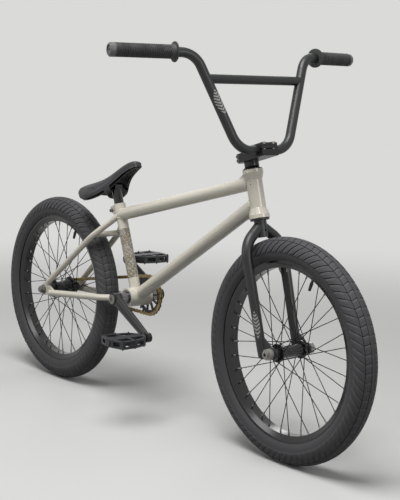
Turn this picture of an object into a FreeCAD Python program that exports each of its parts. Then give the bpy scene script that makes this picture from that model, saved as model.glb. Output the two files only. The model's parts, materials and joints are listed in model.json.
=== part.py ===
import FreeCAD, Part
import math
import os

# A 20-inch BMX bike.  Millimetres and degrees.  +X forward, +Y to the rider's left,
# +Z up.  The origin lies on the ground, halfway between the two axles.

# ---- Driving dimensions -----------------------------------------------------------

# Wheels and tyres
TYRE_HEIGHT = 54.0
TYRE_WIDTH = 59.4
TYRE_FOOT_WIDTH = 39.9
TYRE_WALL = 2.8
TREAD_THICKNESS = 5.0
BEAD_THICKNESS = 3.6
TYRE_SKIRT = 4.0
TUBE_ROOM = 0.4
TUBE_WALL = 1.2
RIM_SEAT_RADIUS = 203.0
RIM_WIDTH = 36.0
RIM_FLANGE_HEIGHT = 6.0
RIM_FLANGE_THICKNESS = 2.5
RIM_DEPTH = 14.0
RIM_FLOOR_WIDTH = 24.0
RIM_WALL = 1.6
RIM_WELL_SHARE = 0.7
RIM_WELL_DEPTH = 2.0
RIM_SHOULDER_DROP = 2.5
RIM_CAVITY_CORNER = 0.6
CAVITY_DROP = 0.2
SPOKE_DRILL_REACH = 6.0
VALVE_DRILL_REACH = 8.0
SPOKES_PER_WHEEL = 36
SPOKE_CROSSES = 3
SPOKE_DIAMETER = 2.0
NIPPLE_DIAMETER = 4.0
NIPPLE_LENGTH = 13.0
NIPPLE_SET_IN = 2.5
NIPPLE_HEAD_START = 2.2
NIPPLE_HEAD_HEIGHT = 2.0
SPOKE_HOLE_STAGGER = 2.5
NIPPLE_HEAD_DIAMETER = 6.0
SPOKE_HEAD_DIAMETER = 3.6
SPOKE_HEAD_THICKNESS = 1.2
VALVE_DIAMETER = 6.4
VALVE_LENGTH = 53.0
VALVE_ANGLE = 69.0
VALVE_CAP_DIAMETER = 8.2
VALVE_CAP_LENGTH = 18.0
VALVE_CAP_TAPER = 0.8

# Frame layout
WHEELBASE = 938.0
BOTTOM_BRACKET_HEIGHT = 288.0
HEAD_ANGLE = 74.3
HEAD_TUBE_LENGTH = 112.0
SEAT_ANGLE = 69.5
SEAT_TUBE_LENGTH = 249.0
TOP_TUBE_DROP_AT_HEAD = 29.0
TOP_TUBE_DROP_AT_SEAT = 28.5
DOWN_TUBE_RISE_AT_HEAD = 35.0

# Frame tubes
HEAD_TUBE_DIAMETER = 37.5
HEAD_TUBE_END_DIAMETER = 48.0
HEAD_TUBE_FLARE_LENGTH = 24.0
HEAD_TUBE_BORE = 33.0
TOP_TUBE_DIAMETER = 31.8
DOWN_TUBE_DIAMETER = 34.0
SEAT_TUBE_DIAMETER = 28.6
CHAIN_STAY_DIAMETER = 17.5
SEAT_STAY_DIAMETER = 16.0
CHAIN_STAY_DROP_AT_AXLE = 8.5
CHAIN_STAY_DROP_AT_SHELL = 6.0
SEAT_STAY_SETBACK = 6.0
STAY_WALL = 1.4
TUBE_WALL_THICKNESS = 1.5
SHELL_LENGTH = 68.0
SHELL_DIAMETER = 49.0
SHELL_BORE = 41.2
BB_BEARING_WIDTH = 12.0
GUSSET_THICKNESS = 4.0
GUSSET_LENGTH = 46.0
GUSSET_HEIGHT = 15.0
GUSSET_TAIL = 8.0
GUSSET_HEAD_ROOM = 6.0
STAY_ROOM = 4.0
CHAIN_STAY_BEND = 90.0
SEAT_STAY_BEND = 120.0
SEAT_STAY_JOINT_DROP = 4.0
DROPOUT_REACH = 30.0
DROPOUT_TONGUE = 16.0
DROPOUT_EDGE = 8.0
DROPOUT_SHOULDER_SHARE = 1.6
DROPOUT_HEEL_SHARE = 0.7
BRIDGE_DIAMETER = 16.0
BRIDGE_ROOM = 22.0
CLAMP_EAR_WIDTH = 9.0
CLAMP_WALL = 1.6
CLAMP_HEIGHT = 22.0
CLAMP_EAR_REACH = 13.0
CLAMP_SLOT = 3.0
CLAMP_BOLT_DIAMETER = 6.0
CLAMP_BOLT_HEAD_SHARE = 1.6
CLAMP_EAR_TAPER = 0.8
SOCKET_SHARE = 0.48
SOCKET_DEPTH = 0.8

# Rear end
REAR_HUB_WIDTH = 110.0
REAR_DROPOUT_THICKNESS = 6.35
REAR_AXLE_DIAMETER = 14.0
REAR_AXLE_END = 4.0
REAR_NUT_WIDTH = 19.0
REAR_NUT_FLANGE_DIAMETER = 25.0
REAR_NUT_THICKNESS = 8.0
REAR_NUT_FLANGE_THICKNESS = 2.5
HUB_BORE_ROOM = 6.0

# Fork
FORK_OFFSET = 31.7
CROWN_ROOM = 50.0
STEERER_DIAMETER = 28.6
STEERER_BORE = 22.0
STEERER_BELOW_CROWN = 43.0
STEERER_HOLE_SHARE = 0.68
STEERER_HOLE_DIAMETER = 5.0
CROWN_RACE_DIAMETER = 44.0
CROWN_RACE_THICKNESS = 4.0
LEG_DIAMETER = 26.0
LEG_END_DIAMETER = 21.0
LEG_WALL = 1.6
LEG_SPREAD = 112.0
LEG_SHOULDER_DROP = 38.0
LEG_BEND_RADIUS = 62.0
LEG_TOP_REACH = 6.0
LEG_TOP_DROP_SHARE = 0.62
LEG_BOTTOM_UP = 1.0
LEG_SETBACK = 1.0
LEG_END_SETBACK = 1.5
FRONT_HUB_WIDTH = 100.0
FRONT_DROPOUT_THICKNESS = 6.0
DROPOUT_LIP = 1.0
DROPOUT_NOSE = 3.0
DROPOUT_WEB_FRONT = 44.0
DROPOUT_WEB_BACK = 40.0
DROPOUT_WEB_AHEAD = 6.0
DROPOUT_WEB_BEHIND = 4.0
DROPOUT_WEB_DROP = 6.0
FRONT_AXLE_BORE_SHARE = 0.6
NUT_SHANK_LENGTH = 24.0
NUT_SOCKET_DEPTH = 9.0
FRONT_AXLE_DIAMETER = 14.0
FRONT_NUT_DIAMETER = 25.0
FRONT_NUT_LENGTH = 13.0
FRONT_NUT_END_DIAMETER = 16.0
FRONT_NUT_END_LENGTH = 5.0
NUT_SOCKET_WIDTH = 8.0

# Headset and stem
BEARING_OUTER_DIAMETER = 41.0
BEARING_THICKNESS = 8.0
DUST_CAP_HEIGHT = 8.0
DUST_CAP_TOP_DIAMETER = 33.0
SPACER_HEIGHT = 12.0
SPACER_DIAMETER = 34.0
STEM_REACH = 47.0
STEM_WIDTH = 48.0
STEM_HEIGHT = 21.0
STEM_BASE_DROP = 16.0
STEM_PLATE_THICKNESS = 14.5
STEM_CLAMP_LENGTH = 42.0
STEM_REAR_REACH = 25.0
STEM_SPLIT = 2.0
STEM_SLOT = 2.5
STEM_BOLT_DIAMETER = 8.0
STEM_BOLT_HEAD_DIAMETER = 12.0
STEM_BOLT_SPACING = 28.0
PINCH_BOLT_DIAMETER = 6.0
PINCH_BOLT_HEAD_DIAMETER = 9.6
PINCH_BOLT_SPACING = 9.6
PINCH_BOLT_ROOM = 2.4
PINCH_HEAD_DEPTH = 7.0
PINCH_BOLT_SHORT = 9.0
STEM_CORNER_SHARE = 0.2
STEM_TOP_CHAMFER = 1.5
STEM_HEAD_DEPTH = 4.0
STEM_HEAD_HEIGHT = 5.0
STEM_BOLT_EDGE = 1.5
CAP_BOLT_DIAMETER = 36.0
CAP_BOLT_LENGTH = 16.0
CAP_BOLT_HEAD_HEIGHT = 3.4

# Handlebar
BAR_DIAMETER = 22.2
BAR_WALL = 1.6
BAR_WIDTH = 699.5
BAR_RISE = 211.5
BAR_LEAN = 14.0
BAR_FLARE = 22.6
BAR_CORNER = 74.0
BAR_LOWER_BEND = 55.0
BAR_UPPER_BEND = 50.0
BAR_BACKSWEEP = 13.0
CROSSBAR_DIAMETER = 21.0
CROSSBAR_HEIGHT = 161.0
GRIP_LENGTH = 143.0
GRIP_DIAMETER = 31.0
GRIP_FLANGE_DIAMETER = 45.0
GRIP_FLANGE_THICKNESS = 3.0
GRIP_COLLAR_LENGTH = 11.0
GRIP_COLLAR_RISE = 2.0
BAR_END_DIAMETER = 31.0
BAR_END_THICKNESS = 12.0
BAR_END_PLUG_LENGTH = 22.0
BAR_END_ROUNDING = 3.0
BAR_END_RECESS_DIAMETER = 20.0
BAR_END_RECESS_DEPTH = 2.0
BAR_END_SCREW_DIAMETER = 5.0
BAR_END_SCREW_DEPTH = 6.0

# Saddle and post
POST_DIAMETER = 25.4
POST_WALL = 2.6
POST_LENGTH = 190.0
POST_EXPOSED = 44.0
PIVOT_RADIUS = 14.0
PIVOT_WIDTH = 22.0
PIVOT_RISE = 6.0
POST_BORE_STOP = 6.0
PIVOT_SLOT_SHARE = 0.45
SADDLE_BOLT_PAST_SHARE = 0.3
SADDLE_LENGTH = 246.0
SADDLE_RISE = 37.0
SADDLE_TILT = 20.5
SADDLE_PIVOT_SHARE = 0.524
SADDLE_TUCK = 0.06
SADDLE_BASE_INSET = 6.0
# Sections from tail to nose: share of the length, ridge height, half width, fall of the
# side below the ridge, pad thickness at the ridge, pad thickness at the side
SADDLE_SECTIONS = (
    (0.02, -10.0, 20.0, 10.0, 14.0, 8.0),
    (0.05, -6.0, 40.0, 17.0, 18.0, 12.0),
    (0.11, -4.0, 54.0, 25.0, 19.0, 14.0),
    (0.21, -6.0, 61.0, 34.0, 17.0, 14.0),
    (0.32, -9.0, 62.0, 36.0, 13.0, 13.0),
    (0.45, -10.0, 51.0, 33.0, 11.0, 13.0),
    (0.58, -6.0, 36.0, 26.0, 11.0, 13.0),
    (0.72, 0.0, 26.0, 18.0, 14.0, 13.0),
    (0.86, 3.0, 21.0, 12.0, 16.0, 13.0),
    (0.95, 1.0, 16.0, 8.0, 15.0, 12.0),
    (1.0, -6.0, 8.0, 4.0, 11.0, 8.0),
)
SADDLE_SHELL_THICKNESS = 3.0
SADDLE_SEAM = 0.5
SADDLE_BOLT_DIAMETER = 8.0
SADDLE_BOLT_HEAD_DIAMETER = 13.0
SADDLE_BOLT_HEAD_HEIGHT = 5.0
SADDLE_TILT_RANGE = 12.0
CRADLE_WALL = 5.0
CRADLE_LOW_SHARE = 0.35
CRADLE_FLARE = 1.3

# Drive
CHAIN_PITCH = 12.7
CHAIN_PLATE_WAIST = 0.39
CHAIN_LINKS = 74
CHAIN_LINE = 38.75
SPROCKET_TEETH = 25
DRIVER_TEETH = 9
SPROCKET_BODY_THICKNESS = 5.0
SPROCKET_WINDOWS = 10
SPROCKET_HUB_DIAMETER = 36.0
SPROCKET_RIM_WIDTH = 5.0
SPROCKET_ROOT_ROOM = 1.5
SPROCKET_LUG_WALL = 3.5
SPROCKET_BOLT_RADIUS = 27.0
SPROCKET_BOLT_DIAMETER = 8.0
SPROCKET_BOLT_HEAD_DIAMETER = 12.0
SPROCKET_BOLT_HEAD_HEIGHT = 2.0
SPROCKET_WEB = 4.0
ROLLER_DIAMETER = 7.75
TOOTH_THICKNESS = 3.0
TOOTH_HEIGHT = 2.4
CHAIN_PLATE_THICKNESS = 1.0
CHAIN_PLATE_HEIGHT = 8.6
CHAIN_PIN_DIAMETER = 3.6
CHAIN_INNER_WIDTH = 3.3
CHAIN_PIN_PROUD = 0.3
SPINDLE_DIAMETER = 22.0
SPINDLE_BORE = 13.0
SPINDLE_LENGTH = 156.0
CRANK_LENGTH = 165.0
CRANK_SPACER_WALL = 4.5
CRANK_ANGLE = -26.2
CRANK_BOSS_DIAMETER = 31.0
CRANK_BOSS_WIDTH = 22.0
CRANK_FLARE = 7.5
CRANK_ARM_HEIGHT = 32.0
CRANK_ARM_END_HEIGHT = 24.0
CRANK_ARM_DEPTH = 21.0
CRANK_ARM_END_DEPTH = 15.0
SPINDLE_BOLT_HEAD_DIAMETER = 24.0
SPINDLE_BOLT_HEAD_HEIGHT = 2.6
SPINDLE_BOLT_LENGTH = 16.0
PEDAL_BOSS_DIAMETER = 24.0
PEDAL_BOSS_WIDTH = 14.0
PEDAL_AXLE_DIAMETER = 9.0
PEDAL_THREAD_DIAMETER = 13.0
PEDAL_AXLE_COLLAR_DIAMETER = 16.0
PEDAL_AXLE_COLLAR_WIDTH = 5.0
PEDAL_LENGTH = 92.0
PEDAL_WIDTH = 107.0
PEDAL_THICKNESS = 19.5
PEDAL_BARREL_DIAMETER = 22.0
PEDAL_RAIL = 7.5
PEDAL_PIN_DIAMETER = 3.4
PEDAL_PIN_HEIGHT = 2.6
PEDAL_END_DIAMETER = 15.0
PEDAL_SKIN = 4.5
PEDAL_BARREL_ROOM = 3.0
PEDAL_END_WALL = 6.0
PEDAL_AXLE_SHORT = 8.0
# Outline of the platform, in shares of its length ahead of the axle and of its width
PEDAL_OUTLINE = ((0.11, 0.02), (0.39, 0.17), (0.5, 0.5), (0.5, 0.87), (0.13, 0.97))
PEDAL_TOP_WINDOWS = ((0.15, 0.48), (0.55, 0.85))
PEDAL_SIDE_WINDOWS = ((0.25, 0.46), (0.57, 0.8))
PEDAL_END_WINDOW = (0.17, 0.4)
PEDAL_PIN_SHARES = (0.2, 0.515, 0.86)

# Hubs
FRONT_FLANGE_SPACING = 70.0
FRONT_FLANGE_DIAMETER = 42.0
FRONT_BARREL_DIAMETER = 28.0
REAR_FLANGE_OFFSET = 29.0
REAR_DRIVE_FLANGE_OFFSET = 26.0
REAR_FLANGE_DIAMETER = 50.0
REAR_DRIVE_FLANGE_DIAMETER = 56.0
REAR_BARREL_DIAMETER = 34.0
FLANGE_THICKNESS = 3.4
FLANGE_MARGIN = 3.2
HUB_BEARING_DIAMETER = 28.0
HUB_BEARING_WIDTH = 8.0
CONE_DIAMETER = 20.0
CONE_LENGTH = 6.0
DRIVER_SLEEVE_DIAMETER = 25.0
HUB_ROOM = 0.9
HUB_WALL = 1.8

# Clearances
RUNNING = 0.05
LOOSE = 0.3
HOLE_ROOM = 0.4

# ---- Directions and small helpers -------------------------------------------------

V = FreeCAD.Vector
X = V(1, 0, 0)
Y = V(0, 1, 0)
Z = V(0, 0, 1)
SIDES = (-1, 1)


def polar(angle, length=1.0):
    """A vector in the bike's side plane, turned up from straight ahead."""
    turn = math.radians(angle)
    return V(length * math.cos(turn), 0, length * math.sin(turn))


def unit(vector):
    return vector * (1.0 / vector.Length)


def rod(start, end, diameter, end_diameter=None):
    """A round bar between two points, tapered when an end diameter is given."""
    along = end - start
    if end_diameter is None or end_diameter == diameter:
        return Part.makeCylinder(diameter / 2, along.Length, start, along)
    return Part.makeCone(diameter / 2, end_diameter / 2, along.Length, start, along)


def pipe(start, end, diameter, bore):
    return rod(start, end, diameter).cut(rod(start, end, bore))


def disc(centre, axis, diameter, width):
    """A round disc centred on a point, its flat faces across the axis."""
    half = unit(axis) * (width / 2)
    return rod(centre - half, centre + half, diameter)


def ring(centre, axis, diameter, bore, width):
    return disc(centre, axis, diameter, width).cut(disc(centre, axis, bore, width))


def fuse(shapes):
    result = shapes[0].multiFuse(shapes[1:]) if len(shapes) > 1 else shapes[0]
    return result.removeSplitter()


def cut(shape, tools):
    """The shape with every tool taken away, as its largest remaining solid."""
    result = shape.cut(Part.makeCompound(tools)) if len(tools) > 1 else shape.cut(tools[0])
    return max(result.Solids, key=lambda solid: solid.Volume)


def turned(profile, centre, axis, across):
    """A solid turned from (along, radius) points about an axis through a centre."""
    points = [centre + axis * along + across * radius for along, radius in profile]
    face = Part.Face(Part.makePolygon(points + points[:1]))
    return face.revolve(centre, axis, 360).Solids[0]


def plate(points, thickness, middle_y):
    """A flat plate across Y with the outline given by points in the side plane."""
    outline = [V(p.x, middle_y - thickness / 2, p.z) for p in points]
    face = Part.Face(Part.makePolygon(outline + outline[:1]))
    return face.extrude(Y * thickness)


def box(low, high):
    size = high - low
    return Part.makeBox(size.x, size.y, size.z, low)


def hexagon(centre, axis, across_flats, length):
    """A six-sided bar from a point along an axis."""
    radius = across_flats / math.sqrt(3)
    first = unit(axis.cross(Z)) if abs(axis.z) < 0.9 else X
    second = unit(axis.cross(first))
    corners = [centre + first * (radius * math.cos(math.radians(60 * i)))
               + second * (radius * math.sin(math.radians(60 * i))) for i in range(6)]
    return Part.Face(Part.makePolygon(corners + corners[:1])).extrude(unit(axis) * length)


def rounded_path(points, radii):
    """Straight runs joined by tangent arcs: one radius for each inner point."""
    edges = []
    start = points[0]
    for before, corner, after, radius in zip(points, points[1:], points[2:], radii):
        inward, outward = unit(before - corner), unit(after - corner)
        half = inward.getAngle(outward) / 2
        leave = corner + inward * (radius / math.tan(half))
        join = corner + outward * (radius / math.tan(half))
        centre = corner + unit(inward + outward) * (radius / math.sin(half))
        middle = centre + unit(corner - centre) * radius
        edges.append(Part.makeLine(start, leave))
        edges.append(Part.Arc(leave, middle, join).toShape())
        start = join
    edges.append(Part.makeLine(start, points[-1]))
    return Part.Wire(edges)


def swept(path, diameter, end_diameter=None):
    """A round bar along a path; its thickness may change evenly to the far end."""
    first, last = path.Edges[0], path.Edges[-1]
    start = first.valueAt(first.FirstParameter)
    start_circle = Part.Wire(Part.makeCircle(diameter / 2, start, first.tangentAt(first.FirstParameter)))
    if end_diameter is None:
        return path.makePipeShell([start_circle], True, False)
    end = last.valueAt(last.LastParameter)
    end_circle = Part.Wire(Part.makeCircle(end_diameter / 2, end, last.tangentAt(last.LastParameter)))
    return path.makePipeShell([start_circle, end_circle], True, False)


def swept_pipe(path, diameter, wall):
    return swept(path, diameter).cut(swept(path, diameter - 2 * wall))


# ---- Chain drive: pins walk along the chain's own pitch circles -------------------


def pitch_radius(teeth):
    return CHAIN_PITCH / (2 * math.sin(math.pi / teeth))


def chain_point(travel, distance):
    """The pin line of the drive, with the sprocket at 0, 0 and the driver behind it."""
    big, small = pitch_radius(SPROCKET_TEETH), pitch_radius(DRIVER_TEETH)
    lean = math.asin((big - small) / distance)
    run = distance * math.cos(lean)
    top_arc = big * (math.pi / 2 + lean)
    rear_arc = small * (math.pi - 2 * lean)
    if travel < top_arc:
        angle = travel / big
        return big * math.cos(angle), big * math.sin(angle)
    travel -= top_arc
    top = math.pi / 2 + lean
    if travel < run:
        return (big * math.cos(top) - travel * math.cos(lean),
                big * math.sin(top) - travel * math.sin(lean))
    travel -= run
    if travel < rear_arc:
        angle = top + travel / small
        return -distance + small * math.cos(angle), small * math.sin(angle)
    travel -= rear_arc
    if travel < run:
        return (-distance + small * math.cos(top) + travel * math.cos(lean),
                -small * math.sin(top) - travel * math.sin(lean))
    angle = -top + (travel - run) / big
    return big * math.cos(angle), big * math.sin(angle)


def walk_chain(distance):
    """The pins of the whole chain, and how far past its start the last one lands."""
    travel, pins = 0.0, []
    for _ in range(CHAIN_LINKS):
        pin = chain_point(travel, distance)
        pins.append(pin)
        low, high = travel + 0.9 * CHAIN_PITCH, travel + 1.2 * CHAIN_PITCH
        for _ in range(40):
            middle = (low + high) / 2
            x, z = chain_point(middle, distance)
            if math.hypot(x - pin[0], z - pin[1]) < CHAIN_PITCH:
                low = middle
            else:
                high = middle
        travel = low
    big, small = pitch_radius(SPROCKET_TEETH), pitch_radius(DRIVER_TEETH)
    lean = math.asin((big - small) / distance)
    around = (big * (math.pi + 2 * lean) + small * (math.pi - 2 * lean)
              + 2 * distance * math.cos(lean))
    return pins, travel - around


def drive_distance():
    """How far apart the spindle and the rear axle lie when the chain is tight."""
    wraps = (SPROCKET_TEETH + DRIVER_TEETH) / 2
    low = CHAIN_PITCH * (CHAIN_LINKS - wraps) / 2 * 0.95
    high = CHAIN_PITCH * (CHAIN_LINKS - wraps) / 2 * 1.01
    for _ in range(40):
        middle = (low + high) / 2
        if walk_chain(middle)[1] > 0:
            low = middle
        else:
            high = middle
    return low


# ---- Layout -----------------------------------------------------------------------

CHAIN_STAY_LENGTH = drive_distance()
TYRE_RADIUS = RIM_SEAT_RADIUS + TYRE_HEIGHT
TYRE_LIP = RIM_SEAT_RADIUS + RIM_FLANGE_HEIGHT + LOOSE
AXLE_TO_CROWN = TYRE_RADIUS + CROWN_ROOM
REAR = V(-WHEELBASE / 2, 0, TYRE_RADIUS)
FRONT = V(WHEELBASE / 2, 0, TYRE_RADIUS)
SHELL_RISE = BOTTOM_BRACKET_HEIGHT - TYRE_RADIUS
SHELL = REAR + V(math.sqrt(CHAIN_STAY_LENGTH ** 2 - SHELL_RISE ** 2), 0, SHELL_RISE)

STEER_UP = polar(180 - HEAD_ANGLE)
STEER_AHEAD = polar(90 - HEAD_ANGLE)
STEER_FOOT = FRONT - STEER_AHEAD * FORK_OFFSET


def steer(up, ahead=0.0, left=0.0):
    """A point of the steered parts: up the axis from the axle's foot, ahead and left."""
    return STEER_FOOT + STEER_UP * up + STEER_AHEAD * ahead + Y * left


HEAD_BOTTOM = AXLE_TO_CROWN
HEAD_TOP = HEAD_BOTTOM + HEAD_TUBE_LENGTH
SPACER_BOTTOM = HEAD_TOP + DUST_CAP_HEIGHT
STEM_BOTTOM = SPACER_BOTTOM + SPACER_HEIGHT
STEM_TOP = STEM_BOTTOM + STEM_HEIGHT
BAR_UP = STEM_BOTTOM + STEM_BASE_DROP
BAR_CENTRE = steer(BAR_UP, STEM_REACH)
STEERER_TOP = STEM_TOP - 1.0

SEAT_UP = polar(180 - SEAT_ANGLE)
SEAT_TOP = SHELL + SEAT_UP * SEAT_TUBE_LENGTH
TOP_TUBE_FRONT = steer(HEAD_TOP - TOP_TUBE_DROP_AT_HEAD)
TOP_TUBE_REAR = SEAT_TOP - SEAT_UP * TOP_TUBE_DROP_AT_SEAT
DOWN_TUBE_FRONT = steer(HEAD_BOTTOM + DOWN_TUBE_RISE_AT_HEAD)

BAR_RADIUS = BAR_DIAMETER / 2
REAR_DROPOUT_Y = (REAR_HUB_WIDTH + REAR_DROPOUT_THICKNESS) / 2
FRONT_DROPOUT_Y = (FRONT_HUB_WIDTH + FRONT_DROPOUT_THICKNESS) / 2


def head_blank():
    """The waisted outside of the head tube, still solid."""
    waist, flared = HEAD_TUBE_DIAMETER / 2, HEAD_TUBE_END_DIAMETER / 2
    lip = HEAD_TUBE_FLARE_LENGTH / 3
    profile = [(0, 0), (0, flared), (lip, flared), (HEAD_TUBE_FLARE_LENGTH, waist),
               (HEAD_TUBE_LENGTH - HEAD_TUBE_FLARE_LENGTH, waist),
               (HEAD_TUBE_LENGTH - lip, flared), (HEAD_TUBE_LENGTH, flared),
               (HEAD_TUBE_LENGTH, 0)]
    return turned(profile, steer(HEAD_BOTTOM), STEER_UP, STEER_AHEAD)


# Solid outlines of the tubes, used to mitre each neighbour against them.
HEAD_ENVELOPE = head_blank()
SEAT_ENVELOPE = rod(SHELL, SEAT_TOP, SEAT_TUBE_DIAMETER)
SHELL_ENVELOPE = disc(SHELL, Y, SHELL_DIAMETER, SHELL_LENGTH)
TOP_TUBE_ENVELOPE = rod(TOP_TUBE_REAR, TOP_TUBE_FRONT, TOP_TUBE_DIAMETER)
DOWN_TUBE_ENVELOPE = rod(SHELL, DOWN_TUBE_FRONT, DOWN_TUBE_DIAMETER)


# ---- Frame ------------------------------------------------------------------------

TYRE_EDGE = TYRE_WIDTH / 2 + CHAIN_STAY_DIAMETER / 2


def head_tube():
    """Waisted tube with a bearing seat bored into each end."""
    low, high = steer(HEAD_BOTTOM), steer(HEAD_TOP)
    seats = [rod(low, low + STEER_UP * BEARING_THICKNESS, BEARING_OUTER_DIAMETER),
             rod(high - STEER_UP * BEARING_THICKNESS, high, BEARING_OUTER_DIAMETER)]
    return cut(HEAD_ENVELOPE, [rod(low, high, HEAD_TUBE_BORE)] + seats)


def top_tube():
    tube = pipe(TOP_TUBE_REAR, TOP_TUBE_FRONT, TOP_TUBE_DIAMETER,
                TOP_TUBE_DIAMETER - 2 * TUBE_WALL_THICKNESS)
    return cut(tube, [HEAD_ENVELOPE, SEAT_ENVELOPE])


def down_tube():
    tube = pipe(SHELL, DOWN_TUBE_FRONT, DOWN_TUBE_DIAMETER,
                DOWN_TUBE_DIAMETER - 2 * TUBE_WALL_THICKNESS)
    return cut(tube, [HEAD_ENVELOPE, SHELL_ENVELOPE, SEAT_ENVELOPE])


def seat_tube():
    tube = pipe(SHELL, SEAT_TOP, SEAT_TUBE_DIAMETER, POST_DIAMETER + 2 * RUNNING)
    return cut(tube, [SHELL_ENVELOPE])


def bottom_bracket_shell():
    return ring(SHELL, Y, SHELL_DIAMETER, SHELL_BORE, SHELL_LENGTH)


SIDE_UP = V(-SHELL_RISE, 0, SHELL.x - REAR.x) * (1.0 / CHAIN_STAY_LENGTH)
CHAIN_STAY_FOOT = REAR - SIDE_UP * CHAIN_STAY_DROP_AT_AXLE
CHAIN_STAY_HEAD = SHELL - SIDE_UP * CHAIN_STAY_DROP_AT_SHELL
SEAT_STAY_HEAD = TOP_TUBE_REAR - SEAT_UP * SEAT_STAY_JOINT_DROP
SEAT_STAY_FOOT = REAR - unit(Y.cross(SEAT_STAY_HEAD - REAR)) * SEAT_STAY_SETBACK


def stay_points(foot, head, places):
    """Points of a stay from (distance from the axle's end, distance from the middle)."""
    along = unit(head - foot)
    return [foot + along * reach + Y * spread for reach, spread in places]


def chain_stay_path(side):
    """Close to the middle beside the sprocket, wide beside the tyre."""
    length = (CHAIN_STAY_HEAD - CHAIN_STAY_FOOT).Length
    inner = CHAIN_LINE - SPROCKET_BODY_THICKNESS / 2 - CHAIN_STAY_DIAMETER / 2 - STAY_ROOM
    places = [(length, inner - 1.0), (length - pitch_radius(SPROCKET_TEETH) - CHAIN_PITCH, inner),
              (TYRE_RADIUS - TYRE_WIDTH / 4, TYRE_EDGE + STAY_ROOM),
              (DROPOUT_REACH, REAR_DROPOUT_Y)]
    route = stay_points(CHAIN_STAY_FOOT, CHAIN_STAY_HEAD, [(r, side * y) for r, y in places])
    return rounded_path(route, [CHAIN_STAY_BEND, CHAIN_STAY_BEND])


def seat_stay_path(side):
    """From the seat tube, spread over the tyre, down to the dropout."""
    length = (SEAT_STAY_HEAD - SEAT_STAY_FOOT).Length
    places = [(length, SEAT_STAY_DIAMETER / 2 + STAY_ROOM),
              (TYRE_RADIUS + SEAT_STAY_DIAMETER, TYRE_EDGE + STAY_ROOM),
              (DROPOUT_REACH, REAR_DROPOUT_Y)]
    route = stay_points(SEAT_STAY_FOOT, SEAT_STAY_HEAD, [(r, side * y) for r, y in places])
    return rounded_path(route, [SEAT_STAY_BEND])


def chain_stays():
    stays = []
    for side in SIDES:
        tube = swept_pipe(chain_stay_path(side), CHAIN_STAY_DIAMETER, STAY_WALL)
        stays.append(cut(tube, [SHELL_ENVELOPE, rear_dropout(side)]))
    return Part.makeCompound(stays)


def seat_stays():
    stays = []
    for side in SIDES:
        tube = swept_pipe(seat_stay_path(side), SEAT_STAY_DIAMETER, STAY_WALL)
        stays.append(cut(tube, [SEAT_ENVELOPE, TOP_TUBE_ENVELOPE, rear_dropout(side)]))
    return Part.makeCompound(stays)


def stay_bridges():
    """One brace between the seat stays above the tyre, one between the chain stays."""
    reach = TYRE_RADIUS + BRIDGE_ROOM
    bridges = []
    for foot, head, path, diameter in (
            (SEAT_STAY_FOOT, SEAT_STAY_HEAD, seat_stay_path, SEAT_STAY_DIAMETER),
            (CHAIN_STAY_FOOT, CHAIN_STAY_HEAD, chain_stay_path, CHAIN_STAY_DIAMETER)):
        middle = stay_points(foot, head, [(reach, 0)])[0]
        bar = disc(middle, Y, BRIDGE_DIAMETER, 2 * TYRE_EDGE)
        bridges.append(cut(bar, [swept(path(side), diameter) for side in SIDES]))
    return Part.makeCompound(bridges)


def rear_dropout(side):
    """Plate with a slot open to the rear, in which the axle slides to tighten the chain."""
    finger = REAR_AXLE_DIAMETER / 2 + DROPOUT_EDGE
    reach = DROPOUT_REACH + DROPOUT_TONGUE
    low = stay_points(CHAIN_STAY_FOOT, CHAIN_STAY_HEAD, [(reach, 0)])[0]
    high = stay_points(SEAT_STAY_FOOT, SEAT_STAY_HEAD, [(reach, 0)])[0]
    half_low = Z * (CHAIN_STAY_DIAMETER / 2 - STAY_WALL)
    half_high = X * (SEAT_STAY_DIAMETER / 2 - STAY_WALL)
    outline = [REAR + V(0, 0, -finger), low - half_low, low + half_low,
               REAR + V(DROPOUT_SHOULDER_SHARE * finger, 0, finger), high + half_high, high - half_high,
               REAR + V(-1, 0, 1) * (DROPOUT_HEEL_SHARE * finger)]
    middle = REAR + Y * (side * REAR_DROPOUT_Y)
    blank = fuse([plate(outline, REAR_DROPOUT_THICKNESS, side * REAR_DROPOUT_Y),
                  disc(middle, Y, 2 * finger, REAR_DROPOUT_THICKNESS)])
    width = REAR_AXLE_DIAMETER + 2 * RUNNING
    slot = box(middle - V(2 * finger, REAR_DROPOUT_THICKNESS, width / 2),
               middle + V(0, REAR_DROPOUT_THICKNESS, width / 2))
    hole = disc(middle, Y, width, 2 * REAR_DROPOUT_THICKNESS)
    return cut(blank, [slot, hole])


def frame_gussets():
    """A plate on the top tube behind the head tube, and one under the down tube."""
    top_run = unit(TOP_TUBE_FRONT - TOP_TUBE_REAR)
    top_normal = V(-top_run.z, 0, top_run.x)
    down_run = unit(DOWN_TUBE_FRONT - SHELL)
    down_normal = V(down_run.z, 0, -down_run.x)
    past_ends = [rod(steer(HEAD_TOP), steer(STEM_TOP), 2 * HEAD_TUBE_END_DIAMETER),
                 rod(steer(HEAD_BOTTOM), steer(HEAD_BOTTOM - GUSSET_LENGTH), 2 * HEAD_TUBE_END_DIAMETER)]
    gussets = []
    for corner, run, normal, radius in (
            (TOP_TUBE_FRONT, top_run, top_normal, TOP_TUBE_DIAMETER / 2),
            (DOWN_TUBE_FRONT, down_run, down_normal, DOWN_TUBE_DIAMETER / 2)):
        heel = corner + normal * (radius - 2.0)
        outline = [heel - run * (GUSSET_LENGTH + GUSSET_TAIL), heel, heel + normal * GUSSET_HEIGHT,
                   heel + normal * GUSSET_HEIGHT - run * (HEAD_TUBE_DIAMETER / 2 + GUSSET_HEAD_ROOM)]
        blank = plate(outline, GUSSET_THICKNESS, 0)
        gussets.append(cut(blank, past_ends + [HEAD_ENVELOPE, TOP_TUBE_ENVELOPE, DOWN_TUBE_ENVELOPE]))
    return Part.makeCompound(gussets)


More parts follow.
